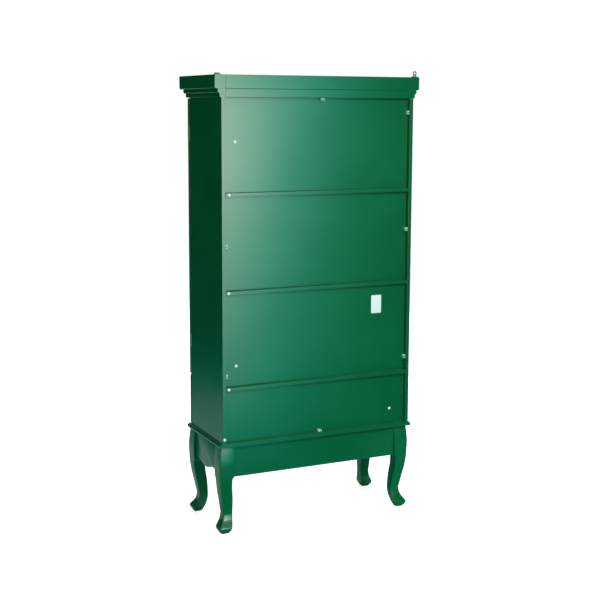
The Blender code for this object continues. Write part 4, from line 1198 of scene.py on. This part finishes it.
    def hang_sheen_card(self, brightness):
        """A glowing card behind the cabinet, shaped as a paper sweep: out over the floor, then up, fading to one
        side.

        It shows in gloss alone and so paints the sheen on the back, a painted reflection. Its ends lie on lines
        from the camera's mirror image in the back, so that the painted sheen fades across the back as it does in
        the photograph. Red fades first.
        """
        across = ((0.46, 1.0), (0.57, 0.72), (0.65, 0.42), (0.73, 0.22), (0.82, 0.09), (0.90, 0.0))
        upward = ((0.0, 0.05), (0.11, 0.13), (0.4, 0.27), (0.52, 0.34), (0.565, 0.45), (0.65, 0.62))
        upward += ((0.715, 0.87), (0.76, 1.0), (0.815, 1.02), (0.85, 0.83), (1.0, 0.2))
        red_share, red_across, red_loss, least_red, blue_share = 1.2, 5.5, -7.5, 0.02, 0.97
        # Painted sheen: the card's glow shows only in reflections on the cabinet
        material, tree, where = new_material("lit_sweep")
        along = add(tree, "ShaderNodeSeparateXYZ", {"Vector": where["UV"]}).outputs
        fades = []
        for socket, stops in (("X", across), ("Y", upward)):
            ramp = tones((1.0, 1.0, 1.0), *stops)
            fades.append(add(tree, "ShaderNodeValToRGB", {"Fac": along[socket]}, ramp=ramp).outputs[0])
        level = add(tree, "ShaderNodeMath", {0: fades[0], 1: fades[1]}, operation="MULTIPLY").outputs[0]
        level = add(tree, "ShaderNodeMath", {0: level, 1: brightness}, operation="MULTIPLY").outputs[0]
        loss = {0: fades[0], 1: red_across, 2: red_loss}
        loss = add(tree, "ShaderNodeMath", loss, operation="MULTIPLY_ADD").outputs[0]
        red = {0: level, 1: red_share, 2: loss}
        red = add(tree, "ShaderNodeMath", red, operation="MULTIPLY_ADD").outputs[0]
        least = add(tree, "ShaderNodeMath", {0: level, 1: least_red}, operation="MULTIPLY").outputs[0]
        red = add(tree, "ShaderNodeMath", {0: red, 1: least}, operation="MAXIMUM").outputs[0]
        blue = add(tree, "ShaderNodeMath", {0: level, 1: blue_share}, operation="MULTIPLY").outputs[0]
        light = add(tree, "ShaderNodeCombineColor", {"Red": red, "Green": level, "Blue": blue})
        finished(material, tree, add(tree, "ShaderNodeEmission", {"Color": light.outputs[0]}))
        mirror_x, mirror_y = 2.2695, -4.33
        close, wide = (0.249, 0.5635), (0.08, 0.645)
        rows = []
        for y, z, share, slopes in (
            (0.9, 0.012, 0.0, close),
            (4.0, 0.012, 0.517, close),
            (4.0, 1.78, 0.8135, close),
            (4.0, 2.0, 0.85, wide),
            (4.0, 2.9, 1.0, wide),
        ):
            ends = [(mirror_x - (y - mirror_y) * slope, y, z) for slope in slopes]
            rows.append((*ends, share))
        self.only_in_gloss(self.card("sweep", rows, material))

    def hang_flags(self):
        """Faintly glowing dark cards, seen only in gloss: they paint shade into the reflections on the side, the
        back, the front and under the cabinet, where the white studio would show.

        Those at the side and the back lie on the floor and then stand up, glowing as bright at the near
        edge as the floor before it.
        """
        # Painted shade in the gloss: a glow that fades from floor-bright at the near edge to almost black
        stops = ((0.0, (0.29, 0.55, 0.49)), (0.12, (0.17, 0.42, 0.37)), (0.2, (0.01, 0.22, 0.18)))
        stops += ((0.24, (0.0, 0.06, 0.05)), (0.28, (0.0, 0.012, 0.01)), (1.0, (0.0, 0.004, 0.004)))
        material, tree, where = new_material("flag_cloth")
        up = add(tree, "ShaderNodeSeparateXYZ", {"Vector": where["UV"]}).outputs["Y"]
        ramp = [(stop, (*colour, 1.0)) for stop, colour in stops]
        tone = add(tree, "ShaderNodeValToRGB", {"Fac": up}, ramp=ramp)
        finished(material, tree, add(tree, "ShaderNodeEmission", {"Color": tone.outputs["Color"]}))
        side_near, side_foot = ((-0.11, -2.02), (3.54, 1.18)), ((0.75, -3.0), (4.4, 0.2))
        back_near, back_foot = ((-0.62, 0.98), (-4.5, 1.48)), ((-0.69, 1.1), (-4.5, 1.6))
        front, under = ((-1.8, -5.23), (0.75, -3.0)), ((0.44, 0.10), (-0.52, -0.08))
        for name, lines in (
            ("flag_side", ((side_near, 0.006, 0.0), (side_foot, 0.006, 0.2), (side_foot, 4.2, 1.0))),
            ("flag_back", ((back_near, 0.006, 0.0), (back_foot, 0.006, 0.2), (back_foot, 4.2, 1.0))),
            ("flag_front", ((front, 1.4, 0.3), (front, 4.2, 1.0))),
            ("flag_under", ((under, 0.004, 0.2), (under, 0.245, 0.2))),
        ):
            rows = [((*start, z), (*end, z), share) for (start, end), z, share in lines]
            self.only_in_gloss(self.card(name, rows, material))

    def only_in_gloss(self, card):
        """Hide a card from everything but reflections."""
        card.visible_camera = False
        card.visible_diffuse = False
        card.visible_transmission = False
        card.visible_shadow = False

    def hang_lamp(self, name, place_at, aim, power):
        """A square area lamp aimed at a point."""
        lamp = bpy.data.lights.new(name, "AREA")
        lamp.shape = "SQUARE"
        lamp.size = 2.6
        lamp.energy = power
        holder = in_scene(name, lamp)
        holder.location = place_at
        way = Vector(aim) - Vector(place_at)
        holder.rotation_euler = way.to_track_quat("-Z", "Y").to_euler()
        return holder


STEPS = (
    CABINET_OT_finishes,
    CABINET_OT_legs,
    CABINET_OT_aprons,
    CABINET_OT_base_plate,
    CABINET_OT_back_panels,
    CABINET_OT_crown,
    CABINET_OT_doors,
    CABINET_OT_knobs,
    CABINET_OT_eyes,
    CABINET_OT_fittings,
    CABINET_OT_label,
    CABINET_OT_stage,
)


class CABINET_PT_dress(bpy.types.Panel):
    """The cabinet's colours, sizes and steps"""

    bl_idname = "CABINET_PT_dress"
    bl_label = "Display cabinet"
    bl_space_type = "VIEW_3D"
    bl_region_type = "UI"
    bl_category = "Cabinet"

    def draw(self, context):
        scene = context.scene
        for group in (scene.cabinet_finishes, scene.cabinet_sizes, scene.cabinet_stage):
            box = self.layout.box()
            for name in group.__annotations__:
                box.prop(group, name)
        for step in STEPS:
            self.layout.operator(step.bl_idname)


GROUPS = {
    "cabinet_finishes": CabinetFinishes,
    "cabinet_sizes": CabinetSizes,
    "cabinet_stage": CabinetStage,
}


def register():
    """Register the groups, the operators and the panel."""
    for name, group in GROUPS.items():
        bpy.utils.register_class(group)
        setattr(bpy.types.Scene, name, bpy.props.PointerProperty(type=group))
    for kind in (*STEPS, CABINET_PT_dress):
        bpy.utils.register_class(kind)


def unregister():
    """Undo register."""
    for kind in (CABINET_PT_dress, *reversed(STEPS)):
        bpy.utils.unregister_class(kind)
    for name, group in GROUPS.items():
        delattr(bpy.types.Scene, name)
        bpy.utils.unregister_class(group)


def main():
    """Register, and dress the cabinet step by step."""
    register()
    bpy.ops.cabinet.finishes()
    bpy.ops.cabinet.legs()
    bpy.ops.cabinet.aprons()
    bpy.ops.cabinet.base_plate()
    bpy.ops.cabinet.back_panels()
    bpy.ops.cabinet.crown()
    bpy.ops.cabinet.doors()
    bpy.ops.cabinet.knobs()
    bpy.ops.cabinet.eyes()
    bpy.ops.cabinet.fittings()
    bpy.ops.cabinet.label()
    bpy.ops.cabinet.stage()


if __name__ == "__main__":
    main()
